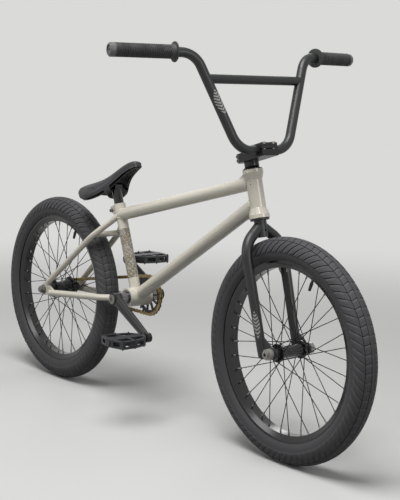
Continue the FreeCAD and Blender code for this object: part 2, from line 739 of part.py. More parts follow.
CLAMP_BOLT_BACK = SEAT_TUBE_DIAMETER / 2 + CLAMP_EAR_REACH / 2 + 1.0


def seat_clamp():
    """Collar round the top of the seat tube, split at the back between two ears."""
    low, high = SEAT_TOP - SEAT_UP * CLAMP_HEIGHT, SEAT_TOP
    back = V(-SEAT_UP.z, 0, SEAT_UP.x)
    collar = rod(low, high, SEAT_TUBE_DIAMETER + 2 * CLAMP_WALL)
    reach = back * (SEAT_TUBE_DIAMETER / 2 + CLAMP_EAR_REACH)
    width = 2 * CLAMP_EAR_WIDTH + CLAMP_SLOT
    ears = plate([low, high, high + reach, low + reach * CLAMP_EAR_TAPER], width, 0)
    slot = plate([low - SEAT_UP, high + SEAT_UP, high + SEAT_UP + reach * 2,
                  low - SEAT_UP + reach * 2], CLAMP_SLOT, 0)
    bolt_at = clamp_bolt_centre()
    hole = disc(bolt_at, Y, CLAMP_BOLT_DIAMETER + HOLE_ROOM, 2 * width)
    bore = rod(low - SEAT_UP, high + SEAT_UP, SEAT_TUBE_DIAMETER)
    return cut(fuse([collar, ears]), [bore, slot, hole, TOP_TUBE_ENVELOPE])


def clamp_bolt_centre():
    back = V(-SEAT_UP.z, 0, SEAT_UP.x)
    return SEAT_TOP - SEAT_UP * (CLAMP_HEIGHT / 2) + back * CLAMP_BOLT_BACK


def socket_bolt(seat, axis, shank, length, head, head_height):
    """Socket-head bolt: seat is under its head, the axis points down the shank."""
    axis = unit(axis)
    body = fuse([rod(seat, seat + axis * length, shank),
                 rod(seat - axis * head_height, seat, head)])
    socket = hexagon(seat - axis * head_height, axis, head * SOCKET_SHARE, head_height * SOCKET_DEPTH)
    return cut(body, [socket])


def seat_clamp_bolt():
    half = CLAMP_EAR_WIDTH + CLAMP_SLOT / 2
    seat = clamp_bolt_centre() - Y * half
    return socket_bolt(seat, Y, CLAMP_BOLT_DIAMETER, 2 * half, CLAMP_BOLT_DIAMETER * CLAMP_BOLT_HEAD_SHARE,
                       CLAMP_BOLT_DIAMETER)


def headset_bearings():
    width = BEARING_THICKNESS
    bore = STEERER_DIAMETER + 2 * RUNNING
    low, high = steer(HEAD_BOTTOM + width / 2), steer(HEAD_TOP - width / 2)
    return Part.makeCompound([ring(at, STEER_UP, BEARING_OUTER_DIAMETER, bore, width)
                              for at in (low, high)])


def bb_bearings():
    offset = SHELL_LENGTH / 2 - BB_BEARING_WIDTH / 2
    bore = SPINDLE_DIAMETER + 2 * RUNNING
    return Part.makeCompound([ring(SHELL + Y * (side * offset), Y, SHELL_BORE, bore,
                                   BB_BEARING_WIDTH) for side in SIDES])


def rear_axle():
    """Solid axle with a cone that stops each dropout."""
    outer = REAR_HUB_WIDTH / 2
    end = outer + REAR_DROPOUT_THICKNESS + REAR_NUT_FLANGE_THICKNESS + REAR_NUT_THICKNESS + REAR_AXLE_END
    shaft = disc(REAR, Y, REAR_AXLE_DIAMETER, 2 * end)
    cones = [disc(REAR + Y * (side * (outer - CONE_LENGTH / 2)), Y, CONE_DIAMETER, CONE_LENGTH)
             for side in SIDES]
    return fuse([shaft] + cones)


def rear_axle_nut(side):
    face = REAR_HUB_WIDTH / 2 + REAR_DROPOUT_THICKNESS
    start = REAR + Y * (side * face)
    flange = rod(start, start + Y * (side * REAR_NUT_FLANGE_THICKNESS), REAR_NUT_FLANGE_DIAMETER)
    body = hexagon(start, Y * side, REAR_NUT_WIDTH, REAR_NUT_FLANGE_THICKNESS + REAR_NUT_THICKNESS)
    return cut(fuse([flange, body]), [disc(REAR, Y, REAR_AXLE_DIAMETER, 3 * face)])


# ---- Chain ------------------------------------------------------------------------

CHAIN_PINS = [V(x, 0, z) for x, z in walk_chain(CHAIN_STAY_LENGTH)[0]]
DRIVE_BACK = unit(SHELL - REAR)
DRIVE_UP = V(-DRIVE_BACK.z, 0, DRIVE_BACK.x)


def drive_place(point):
    """A point of the level drive layout, moved onto the bike."""
    return SHELL + DRIVE_BACK * point.x + DRIVE_UP * point.z + Y * CHAIN_LINE


def link_plate(start, end, middle_y):
    """A waisted plate with round ends."""
    first, second = start + Y * middle_y, end + Y * middle_y
    along = unit(second - first)
    side = unit(along.cross(Y)) * (CHAIN_PLATE_HEIGHT * CHAIN_PLATE_WAIST)
    half = Y * (CHAIN_PLATE_THICKNESS / 2)
    corners = [first + side - half, second + side - half, second - side - half, first - side - half]
    waist = Part.Face(Part.makePolygon(corners + corners[:1])).extrude(Y * CHAIN_PLATE_THICKNESS)
    ends = [disc(at, Y, CHAIN_PLATE_HEIGHT, CHAIN_PLATE_THICKNESS) for at in (first, second)]
    return fuse([waist] + ends)


def inner_link(start, end):
    """Two plates held apart by two rollers, bored for the pins."""
    offset = (CHAIN_INNER_WIDTH + CHAIN_PLATE_THICKNESS) / 2
    plates = [link_plate(start, end, side * offset) for side in SIDES]
    rollers = [disc(at, Y, ROLLER_DIAMETER, CHAIN_INNER_WIDTH) for at in (start, end)]
    bores = [disc(at, Y, CHAIN_PIN_DIAMETER + 4 * RUNNING, 4 * offset) for at in (start, end)]
    return cut(fuse(plates + rollers), bores)


def outer_link(start, end):
    """Two outer plates joined by two pins that stand a little proud."""
    offset = CHAIN_INNER_WIDTH / 2 + CHAIN_PLATE_THICKNESS * 1.5 + 2 * RUNNING
    plates = [link_plate(start, end, side * offset) for side in SIDES]
    width = 2 * offset + CHAIN_PLATE_THICKNESS + 2 * CHAIN_PIN_PROUD
    pins = [disc(at, Y, CHAIN_PIN_DIAMETER, width) for at in (start, end)]
    return fuse(plates + pins)


def chain():
    places = [drive_place(pin) for pin in CHAIN_PINS]
    links = []
    for index, start in enumerate(places):
        end = places[(index + 1) % len(places)]
        make = inner_link if index % 2 == 0 else outer_link
        links.append(make(start, end))
    return Part.makeCompound(links)


def toothed_disc(centre, teeth, first_pin):
    """Chain teeth: each one stays inside the paths of the two rollers beside it."""
    radius = pitch_radius(teeth)
    outer = disc(centre, Y, 2 * (radius + TOOTH_HEIGHT), TOOTH_THICKNESS)
    reach = 2 * (CHAIN_PITCH - ROLLER_DIAMETER / 2 - RUNNING)
    pins = [centre + unit(FreeCAD.Rotation(Y, 360.0 * index / teeth).multVec(first_pin)) * radius
            for index in range(teeth)]
    solids = [disc(centre, Y, 2 * radius - ROLLER_DIAMETER / 2, TOOTH_THICKNESS)]
    for index, pin in enumerate(pins):
        after = pins[(index + 1) % teeth]
        solids.append(disc(pin, Y, reach, TOOTH_THICKNESS).common(
            disc(after, Y, reach, TOOTH_THICKNESS)).common(outer))
    pockets = [disc(pin, Y, ROLLER_DIAMETER + 2 * RUNNING, 2 * TOOTH_THICKNESS) for pin in pins]
    return cut(fuse(solids), pockets)


# ---- Crank ------------------------------------------------------------------------


def crank_direction(side):
    """The right arm points down and ahead, the left arm the other way."""
    return polar(CRANK_ANGLE) * -side


def sprocket():
    centre = SHELL + Y * CHAIN_LINE
    first_pin = drive_place(CHAIN_PINS[0]) - centre
    radius = pitch_radius(SPROCKET_TEETH)
    teeth = toothed_disc(centre, SPROCKET_TEETH, first_pin)
    inner = radius - ROLLER_DIAMETER / 2 - SPROCKET_ROOT_ROOM
    body = disc(centre, Y, 2 * inner, SPROCKET_BODY_THICKNESS)
    outside = inner - SPROCKET_RIM_WIDTH
    inside = SPROCKET_HUB_DIAMETER / 2
    windows = []
    for index in range(SPROCKET_WINDOWS):
        middle = 360.0 * (index + 0.5) / SPROCKET_WINDOWS
        corners = []
        for reach, order in ((inside, SIDES), (outside, SIDES[::-1])):
            half = 180.0 / SPROCKET_WINDOWS - math.degrees(math.asin(SPROCKET_WEB / 2 / reach))
            corners += [polar(middle + turn * half, reach) for turn in order]
        corners = [FreeCAD.Rotation(Y, -CRANK_ANGLE).multVec(corner) for corner in corners]
        windows.append(plate([centre + corner for corner in corners],
                             3 * SPROCKET_BODY_THICKNESS, CHAIN_LINE))
    bore = disc(centre, Y, SPINDLE_DIAMETER, 4 * SPROCKET_BODY_THICKNESS)
    bolt_at = centre + crank_direction(1) * SPROCKET_BOLT_RADIUS
    lug = disc(bolt_at, Y, SPROCKET_BOLT_DIAMETER + 2 * SPROCKET_LUG_WALL, SPROCKET_BODY_THICKNESS)
    hole = disc(bolt_at, Y, SPROCKET_BOLT_DIAMETER, 4 * SPROCKET_BODY_THICKNESS)
    webbed = cut(fuse([teeth, body]), windows)
    return cut(fuse([webbed, lug]), [bore, hole])


def crank_spindle():
    return ring(SHELL, Y, SPINDLE_DIAMETER, SPINDLE_BORE, SPINDLE_LENGTH)


CRANK_Y = SPINDLE_LENGTH / 2 - CRANK_BOSS_WIDTH / 2
PEDAL_BOSS_Y = CRANK_Y + CRANK_FLARE
PEDAL_BOSS_FACE = PEDAL_BOSS_Y + PEDAL_BOSS_WIDTH / 2


def crank_points(side):
    boss = SHELL + Y * (side * CRANK_Y)
    eye = SHELL + crank_direction(side) * CRANK_LENGTH + Y * (side * PEDAL_BOSS_Y)
    return boss, eye


def oval(centre, along, height, depth):
    """An oval wire across the arm: its height in the side plane, its depth across."""
    wire = Part.Wire(Part.Ellipse(V(0, 0, 0), height / 2, depth / 2).toShape())
    up = unit(Y.cross(along))
    placement = FreeCAD.Placement(centre, FreeCAD.Rotation(up, unit(along.cross(up)), along, "ZXY"))
    wire.Placement = placement
    return wire


def crank_arm(side):
    """Tubular arm between a boss on the spindle and an eye for the pedal axle."""
    boss, eye = crank_points(side)
    along = unit(eye - boss)
    arm = Part.makeLoft([oval(boss, along, CRANK_ARM_HEIGHT, CRANK_ARM_DEPTH),
                         oval(eye, along, CRANK_ARM_END_HEIGHT, CRANK_ARM_END_DEPTH)], True, True)
    ends = [disc(boss, Y, CRANK_BOSS_DIAMETER, CRANK_BOSS_WIDTH),
            disc(eye, Y, PEDAL_BOSS_DIAMETER, PEDAL_BOSS_WIDTH)]
    holes = [disc(boss, Y, SPINDLE_DIAMETER, 2 * CRANK_BOSS_WIDTH),
             disc(eye, Y, PEDAL_THREAD_DIAMETER, 2 * PEDAL_BOSS_WIDTH)]
    if side > 0:
        bolt_at = SHELL + crank_direction(1) * SPROCKET_BOLT_RADIUS
        holes.append(rod(bolt_at, bolt_at + Y * CRANK_Y, SPROCKET_BOLT_DIAMETER))
    return cut(fuse([arm] + ends), holes)


def crank_bolts():
    """A bolt in each end of the spindle, and the bolt that drives the sprocket."""
    bolts = [socket_bolt(SHELL + Y * (side * SPINDLE_LENGTH / 2), Y * -side, SPINDLE_BORE,
                         SPINDLE_BOLT_LENGTH, SPINDLE_BOLT_HEAD_DIAMETER,
                         SPINDLE_BOLT_HEAD_HEIGHT) for side in SIDES]
    inner = CHAIN_LINE - SPROCKET_BODY_THICKNESS / 2
    seat = SHELL + crank_direction(1) * SPROCKET_BOLT_RADIUS + Y * inner
    bolts.append(socket_bolt(seat, Y, SPROCKET_BOLT_DIAMETER, CRANK_Y - inner,
                             SPROCKET_BOLT_HEAD_DIAMETER, SPROCKET_BOLT_HEAD_HEIGHT))
    return Part.makeCompound(bolts)


def crank_spacers():
    """Turned sleeves that fill the spindle between the bearings and the arms."""
    shell_end = SHELL_LENGTH / 2
    sprocket_in = CHAIN_LINE - SPROCKET_BODY_THICKNESS / 2
    sprocket_out = CHAIN_LINE + SPROCKET_BODY_THICKNESS / 2
    boss_in = CRANK_Y - CRANK_BOSS_WIDTH / 2
    spans = [(-boss_in, -shell_end - LOOSE), (shell_end + LOOSE, sprocket_in),
             (sprocket_out, boss_in)]
    rings = []
    for low, high in spans:
        middle = SHELL + Y * ((low + high) / 2)
        rings.append(ring(middle, Y, SPINDLE_DIAMETER + 2 * CRANK_SPACER_WALL, SPINDLE_DIAMETER, high - low))
    return Part.makeCompound(rings)


def pedal_axle(side):
    """Axle screwed into the crank eye, with a collar against its face."""
    eye = crank_points(side)[1]
    face = eye + Y * (side * PEDAL_BOSS_WIDTH / 2)
    outer = Y * side
    collar_end = face + outer * PEDAL_AXLE_COLLAR_WIDTH
    inner = eye - outer * (PEDAL_BOSS_WIDTH / 2)
    return fuse([rod(inner, face, PEDAL_THREAD_DIAMETER),
                 rod(face, collar_end, PEDAL_AXLE_COLLAR_DIAMETER),
                 rod(collar_end, collar_end + outer * (PEDAL_WIDTH - PEDAL_AXLE_SHORT),
                     PEDAL_AXLE_DIAMETER)])


def pedal(side):
    """Hollow platform: a barrel and two open rails, joined by ribs, with pins on both faces."""
    eye = crank_points(side)[1]
    start = PEDAL_BOSS_FACE + PEDAL_AXLE_COLLAR_WIDTH + LOOSE
    inner = V(eye.x, 0, eye.z) + Y * (side * start)
    outer = inner + Y * (side * PEDAL_WIDTH)

    def corner(ahead, share):
        return inner + X * ahead + Y * (side * PEDAL_WIDTH * share)

    def reach(share):
        """Distance from the axle to the outline at a share of the width."""
        for (a, low), (b, high) in zip(PEDAL_OUTLINE, PEDAL_OUTLINE[1:]):
            if low <= share <= high:
                return PEDAL_LENGTH * (a + (b - a) * (share - low) / (high - low))

    def block(corners, half):
        base = [point - Z * half for point in corners]
        return Part.Face(Part.makePolygon(base + base[:1])).extrude(Z * (2 * half))

    half = PEDAL_THICKNESS / 2
    ahead = [corner(PEDAL_LENGTH * length, share) for length, share in PEDAL_OUTLINE]
    behind = [corner(-PEDAL_LENGTH * length, share) for length, share in PEDAL_OUTLINE]
    slab = block(ahead + behind[::-1], half)
    near = PEDAL_BARREL_DIAMETER / 2 + PEDAL_BARREL_ROOM
    windows, pins = [], []
    for way in (-1, 1):
        for low, high in PEDAL_TOP_WINDOWS:
            spots = [corner(way * near, low), corner(way * (reach(low) - PEDAL_RAIL), low),
                     corner(way * (reach(high) - PEDAL_RAIL), high), corner(way * near, high)]
            windows.append(block(spots, PEDAL_THICKNESS))
        for low, high in PEDAL_SIDE_WINDOWS:
            spots = [corner(way * near, low), corner(way * PEDAL_LENGTH, low),
                     corner(way * PEDAL_LENGTH, high), corner(way * near, high)]
            windows.append(block(spots, half - PEDAL_SKIN))
        low, high = [way * PEDAL_LENGTH * length for length in PEDAL_END_WINDOW]
        share = PEDAL_TOP_WINDOWS[-1][0]
        spots = [corner(low, share), corner(high, share), corner(high, 1.0), corner(low, 1.0)]
        windows.append(block(spots, half - PEDAL_SKIN))
        for share in PEDAL_PIN_SHARES:
            at = corner(way * (reach(share) - PEDAL_RAIL / 2), share)
            pins.append(rod(at - Z * (half + PEDAL_PIN_HEIGHT), at + Z * (half + PEDAL_PIN_HEIGHT),
                            PEDAL_PIN_DIAMETER))
    tube = rod(inner, outer, PEDAL_BARREL_DIAMETER, PEDAL_END_DIAMETER)
    bore = rod(inner - Y * side, outer - Y * (side * PEDAL_END_WALL),
               PEDAL_AXLE_DIAMETER + 2 * RUNNING)
    return cut(fuse([cut(slab, windows), tube] + pins), [bore])


# ---- Driver -----------------------------------------------------------------------


def driver_cog():
    """Small cog on a sleeve that turns on the rear axle inside the hub."""
    centre = REAR + Y * CHAIN_LINE
    pins = [drive_place(pin) - centre for pin in CHAIN_PINS]
    nearest = min(pins, key=lambda pin: abs(pin.Length - pitch_radius(DRIVER_TEETH)))
    teeth = toothed_disc(centre, DRIVER_TEETH, nearest)
    inner = REAR + Y * (DRIVE_FACE - HUB_BEARING_WIDTH)
    outer = REAR + Y * (REAR_HUB_WIDTH / 2 - CONE_LENGTH - LOOSE)
    sleeve = rod(inner, outer, DRIVER_SLEEVE_DIAMETER)
    bore = disc(REAR, Y, REAR_AXLE_DIAMETER + 2 * RUNNING, 2 * REAR_HUB_WIDTH)
    return cut(fuse([teeth, sleeve]), [bore])


# ---- Wheels -----------------------------------------------------------------------


def wheel_turned(profile, centre):
    """A ring turned from (across, radius) points about a wheel's axle."""
    return turned(profile, centre, Y, Z)


def tyre(centre):
    """Tread crown and side walls, hooked over the rim's flanges."""
    half = TYRE_WIDTH / 2
    middle = TYRE_RADIUS - half
    inner_y = RIM_WIDTH / 2 - RIM_FLANGE_THICKNESS
    crown = TYRE_RADIUS - TREAD_THICKNESS
    skirt = TYRE_LIP - TYRE_SKIRT
    seat = TYRE_LIP + BEAD_THICKNESS
    outside = RIM_WIDTH / 2 + LOOSE
    foot = TYRE_FOOT_WIDTH / 2
    pull_in = half - foot
    side_radius = (pull_in ** 2 + (middle - skirt) ** 2) / (2 * pull_in)

    def side_width(r, wall):
        """Half width of the side wall's arc at a radius from the axle, wall inside its outer face."""
        return half - side_radius + math.sqrt((side_radius - wall) ** 2 - (middle - r) ** 2)

    waist = (middle + skirt) / 2
    inner_foot = side_width(seat, TYRE_WALL)

    def at(y, r):
        return centre + Y * y + Z * r

    def arc(*places):
        return Part.Arc(*[at(y, r) for y, r in places]).toShape()

    bead = inner_y - BEAD_THICKNESS
    outline = [(foot, skirt), (outside, skirt), (outside, TYRE_LIP), (inner_y, TYRE_LIP),
               (inner_y, RIM_SEAT_RADIUS), (bead, RIM_SEAT_RADIUS), (bead, seat), (inner_foot, seat)]
    right = [at(y, r) for y, r in outline]
    left = [at(-y, r) for y, r in reversed(outline)]
    edges = [arc((-half, middle), (0, TYRE_RADIUS), (half, middle)),
             arc((half, middle), (side_width(waist, 0), waist), (foot, skirt))]
    edges += [Part.makeLine(a, b) for a, b in zip(right, right[1:])]
    edges.append(arc((inner_foot, seat), (0, crown), (-inner_foot, seat)))
    edges += [Part.makeLine(a, b) for a, b in zip(left, left[1:])]
    edges.append(arc((-foot, skirt), (-side_width(waist, 0), waist), (-half, middle)))
    face = Part.Face(Part.Wire(edges))
    return face.revolve(centre, Y, 360).Solids[0]


def inner_tube(centre):
    """Rubber tube inside the tyre, with its valve through the rim and a screwed cap."""
    outside, inside = TYRE_RADIUS - TREAD_THICKNESS - LOOSE, TYRE_LIP + TUBE_ROOM
    middle, half = (outside + inside) / 2, (outside - inside) / 2
    body = Part.makeTorus(middle, half, centre, Y)
    hollow = Part.makeTorus(middle, half - TUBE_WALL, centre, Y)
    out = polar(VALVE_ANGLE)
    foot = centre + out * (inside + TUBE_WALL / 2)
    tip = foot - out * VALVE_LENGTH
    stem = rod(foot, tip, VALVE_DIAMETER)
    cap = rod(tip + out * VALVE_CAP_LENGTH, tip, VALVE_CAP_DIAMETER, VALVE_CAP_DIAMETER * VALVE_CAP_TAPER)
    return fuse([body.cut(hollow), stem, cap]).Solids[0]


RIM_FACE_RADIUS = RIM_SEAT_RADIUS - RIM_DEPTH


def rim(centre, spokes):
    """Double-walled rim: a tyre channel over a hollow box, drilled for the spokes."""
    edge = RIM_SEAT_RADIUS + RIM_FLANGE_HEIGHT
    outer = RIM_WIDTH / 2
    inner = outer - RIM_FLANGE_THICKNESS
    floor = RIM_FLOOR_WIDTH / 2
    well = floor * RIM_WELL_SHARE
    well_radius = RIM_SEAT_RADIUS - RIM_WELL_DEPTH
    shoulder = RIM_SEAT_RADIUS - RIM_SHOULDER_DROP
    half = [(outer, edge), (inner, edge), (inner, RIM_SEAT_RADIUS), (well + RIM_WELL_DEPTH, RIM_SEAT_RADIUS),
            (well, well_radius)]
    section = half + [(-y, r) for y, r in reversed(half)]
    section += [(-outer, shoulder), (-floor, RIM_FACE_RADIUS), (floor, RIM_FACE_RADIUS),
                (outer, shoulder)]
    wall = RIM_WALL
    room = [(inner, RIM_SEAT_RADIUS - wall), (well + RIM_WELL_DEPTH, RIM_SEAT_RADIUS - wall),
            (well, well_radius - wall)]
    cavity = room + [(-y, r) for y, r in reversed(room)]
    cavity += [(-inner, shoulder - CAVITY_DROP), (RIM_CAVITY_CORNER - floor, RIM_FACE_RADIUS + wall),
               (floor - RIM_CAVITY_CORNER, RIM_FACE_RADIUS + wall), (inner, shoulder - CAVITY_DROP)]
    body = wheel_turned(section, centre).cut(wheel_turned(cavity, centre))
    drills = [rod(end - along * SPOKE_DRILL_REACH, end + along * SPOKE_DRILL_REACH,
                  NIPPLE_DIAMETER + HOLE_ROOM)
              for end, along in spokes]
    out = polar(VALVE_ANGLE)
    drills.append(rod(centre + out * (RIM_FACE_RADIUS - VALVE_DRILL_REACH), centre + out * edge,
                      VALVE_DIAMETER + HOLE_ROOM))
    return cut(body, drills)


def spoke_lines(centre, flange_y, hole_radius):
    """(hub point, rim point, step through the flange) of every spoke, laced three-cross.

    Neighbouring spokes of one flange leave it on opposite faces, so they pass
    each other without touching; the two flanges share the rim's holes, and the
    valve stands halfway between two of them."""
    lines = []
    per_flange = SPOKES_PER_WHEEL // 2
    pitch = 360.0 / per_flange
    first = VALVE_ANGLE + pitch / 4
    for flange, side in enumerate(SIDES):
        for index in range(per_flange):
            lead = 1 if index % 2 == 0 else -1
            start = first + pitch * (index + flange / 2)
            end = start + lead * pitch * SPOKE_CROSSES
            offset = (FLANGE_THICKNESS + SPOKE_DIAMETER + LOOSE) / 2
            if lead > 0:
                slope = flange_y[flange] / (RIM_FACE_RADIUS - hole_radius[flange])
                edge = hole_radius[flange] + FLANGE_MARGIN
                offset += slope * math.sqrt(edge ** 2 - hole_radius[flange] ** 2)
            y = side * (flange_y[flange] + lead * offset)
            hub = centre + polar(start, hole_radius[flange]) + Y * y
            far = centre + polar(end, RIM_FACE_RADIUS) + Y * (side * SPOKE_HOLE_STAGGER)
            through = Y * (-side * lead * (offset + FLANGE_THICKNESS / 2 + LOOSE))
            lines.append((hub, far, through))
    return lines


def spokes(lines):
    """Spokes with a bent head through the flange and a nipple in the rim."""
    solids = []
    for hub, far, through in lines:
        along = unit(far - hub)
        wire = rod(hub, far - along * 2.0, SPOKE_DIAMETER)
        nipple = rod(far - along * (NIPPLE_LENGTH - NIPPLE_SET_IN), far + along * NIPPLE_HEAD_START,
                     NIPPLE_DIAMETER)
        head = rod(far + along * NIPPLE_HEAD_START,
                   far + along * (NIPPLE_HEAD_START + NIPPLE_HEAD_HEIGHT), NIPPLE_HEAD_DIAMETER)
        elbow = rod(hub, hub + through, SPOKE_DIAMETER)
        bend = Part.makeSphere(SPOKE_DIAMETER / 2, hub)
        head_at = hub + through
        button = rod(head_at, head_at + unit(through) * SPOKE_HEAD_THICKNESS, SPOKE_HEAD_DIAMETER)
        solids.append(fuse([wire, nipple, head, elbow, bend, button]).Solids[0])
    return Part.makeCompound(solids)


def rim_ends(lines):
    return [(far, unit(far - hub)) for hub, far, through in lines]


def hub_drills(lines, flange_y):
    """Spoke holes through both flanges."""
    drills = []
    for hub, far, through in lines:
        middle = V(hub.x, -flange_y[0] if hub.y < 0 else flange_y[1], hub.z)
        drills.append(disc(middle, Y, SPOKE_DIAMETER + HOLE_ROOM, 2 * FLANGE_THICKNESS))
    return drills


FRONT_FLANGE_Y = (FRONT_FLANGE_SPACING / 2, FRONT_FLANGE_SPACING / 2)
FRONT_HOLES = (FRONT_FLANGE_DIAMETER / 2 - FLANGE_MARGIN,) * 2
REAR_FLANGE_Y = (REAR_FLANGE_OFFSET, REAR_DRIVE_FLANGE_OFFSET)
REAR_HOLES = (REAR_FLANGE_DIAMETER / 2 - FLANGE_MARGIN,
              REAR_DRIVE_FLANGE_DIAMETER / 2 - FLANGE_MARGIN)
CHAIN_HALF_WIDTH = CHAIN_INNER_WIDTH / 2 + 2 * CHAIN_PLATE_THICKNESS + 2 * RUNNING + CHAIN_PIN_PROUD
DRIVE_FACE = CHAIN_LINE - CHAIN_HALF_WIDTH - HUB_ROOM


def front_hub_shell(lines):
    """Barrel with two drilled flanges and a bearing pocket in each end."""
    flange = FRONT_FLANGE_SPACING / 2
    thick = FLANGE_THICKNESS / 2
    end = FRONT_HUB_WIDTH / 2 - CONE_LENGTH
    tall, barrel = FRONT_FLANGE_DIAMETER / 2, FRONT_BARREL_DIAMETER / 2
    shoulder = HUB_BEARING_DIAMETER / 2 + HUB_WALL
    right = [(end, 0), (end, shoulder), (flange + thick, shoulder), (flange + thick, tall),
             (flange - thick, tall), (flange - thick, shoulder), (flange - shoulder, barrel)]
    profile = right + [(-y, r) for y, r in reversed(right)]
    body = wheel_turned(profile, FRONT)
    bore = disc(FRONT, Y, FRONT_AXLE_DIAMETER + HUB_BORE_ROOM, FRONT_HUB_WIDTH)
    pockets = [disc(FRONT + Y * (side * (end - HUB_BEARING_WIDTH / 2)), Y, HUB_BEARING_DIAMETER,
                    HUB_BEARING_WIDTH) for side in SIDES]
    return cut(body, [bore] + pockets + hub_drills(lines, FRONT_FLANGE_Y))


def front_hub_bearings():
    end = FRONT_HUB_WIDTH / 2 - CONE_LENGTH
    bore = FRONT_AXLE_DIAMETER + 2 * RUNNING
    return Part.makeCompound([
        ring(FRONT + Y * (side * (end - HUB_BEARING_WIDTH / 2)), Y, HUB_BEARING_DIAMETER, bore,
             HUB_BEARING_WIDTH - LOOSE) for side in SIDES])


def rear_hub_shell(lines):
    """Slim barrel that opens into a large bell on the chain side."""
    near, far = REAR_FLANGE_Y
    thick = FLANGE_THICKNESS / 2
    right_end = -(REAR_HUB_WIDTH / 2 - CONE_LENGTH)
    small, bell = REAR_FLANGE_DIAMETER / 2, REAR_DRIVE_FLANGE_DIAMETER / 2
    barrel = REAR_BARREL_DIAMETER / 2
    shoulder = HUB_BEARING_DIAMETER / 2 + 2 * HUB_WALL
    inside = bell - 2 * FLANGE_MARGIN
    profile = [(right_end, 0), (right_end, shoulder), (-near - thick, shoulder + HUB_WALL / 2),
               (-near - thick, small), (-near + thick, small), (-near + thick, shoulder),
               (-near + shoulder / 2, barrel), (0, barrel), (far - inside / 2, inside),
               (far - thick, inside), (far - thick, bell), (far + thick, bell),
               (far + thick, inside), (DRIVE_FACE, inside - HUB_WALL), (DRIVE_FACE, 0)]
    body = wheel_turned(profile, REAR)
    bore = disc(REAR, Y, REAR_AXLE_DIAMETER + HUB_BORE_ROOM, REAR_HUB_WIDTH)
    depth = 2 * HUB_BEARING_WIDTH + LOOSE
    well = rod(REAR + Y * (DRIVE_FACE - depth), REAR + Y * DRIVE_FACE, HUB_BEARING_DIAMETER)
    pocket = disc(REAR + Y * (right_end + HUB_BEARING_WIDTH / 2), Y, HUB_BEARING_DIAMETER,
                  HUB_BEARING_WIDTH)
    return cut(body, [bore, well, pocket] + hub_drills(lines, REAR_FLANGE_Y))


def rear_hub_bearings():
    """One bearing in each end; the left one lies behind the driver's sleeve."""
    bore = REAR_AXLE_DIAMETER + 2 * RUNNING
    width = HUB_BEARING_WIDTH - LOOSE
    right = -(REAR_HUB_WIDTH / 2 - CONE_LENGTH) + HUB_BEARING_WIDTH / 2
    left = DRIVE_FACE - 1.5 * HUB_BEARING_WIDTH - LOOSE
    return Part.makeCompound([ring(REAR + Y * y, Y, HUB_BEARING_DIAMETER, bore, width)
                              for y in (right, left)])


# ---- Fork and front axle ----------------------------------------------------------


def steerer_tube():
    """Hollow steerer with the crown race turned on it; its open foot shows below."""
    low = steer(HEAD_BOTTOM - STEERER_BELOW_CROWN)
    tube = fuse([rod(low, steer(STEERER_TOP), STEERER_DIAMETER),
                 rod(steer(HEAD_BOTTOM - CROWN_RACE_THICKNESS - LOOSE), steer(HEAD_BOTTOM - LOOSE),
                     CROWN_RACE_DIAMETER)])
    hole_at = steer(HEAD_BOTTOM - STEERER_BELOW_CROWN * STEERER_HOLE_SHARE)
    return cut(tube, [rod(low, steer(STEERER_TOP), STEERER_BORE),
                      rod(hole_at, hole_at + STEER_AHEAD * STEERER_DIAMETER,
                             STEERER_HOLE_DIAMETER)])


def leg_path(side):
    top = HEAD_BOTTOM - CROWN_RACE_THICKNESS - LEG_DIAMETER * LEG_TOP_DROP_SHARE
    return rounded_path([steer(top, -LEG_SETBACK, side * LEG_TOP_REACH),
                         steer(top - LEG_SHOULDER_DROP, LEG_SETBACK, side * LEG_SPREAD / 2),
                         steer(LEG_BOTTOM_UP, LEG_END_SETBACK, side * FRONT_DROPOUT_Y)],
                        [LEG_BEND_RADIUS])


def fork_leg(side):
    """Bent leg, mitred on the steerer and tapering to a closed round foot."""
    path = leg_path(side)
    foot = steer(LEG_BOTTOM_UP, LEG_END_SETBACK, side * FRONT_DROPOUT_Y)
    outer = fuse([swept(path, LEG_DIAMETER, LEG_END_DIAMETER),
                  Part.makeSphere(LEG_END_DIAMETER / 2, foot)])
    inner = swept(path, LEG_DIAMETER - 2 * LEG_WALL, LEG_END_DIAMETER - 2 * LEG_WALL)
    steerer = rod(steer(HEAD_BOTTOM - STEERER_BELOW_CROWN), steer(HEAD_TOP), STEERER_DIAMETER)
    race = rod(steer(HEAD_BOTTOM - CROWN_RACE_THICKNESS - LOOSE), steer(HEAD_TOP),
               2 * CROWN_RACE_DIAMETER)
    return cut(outer.cut(inner), [steerer, race, fork_dropout(side)])


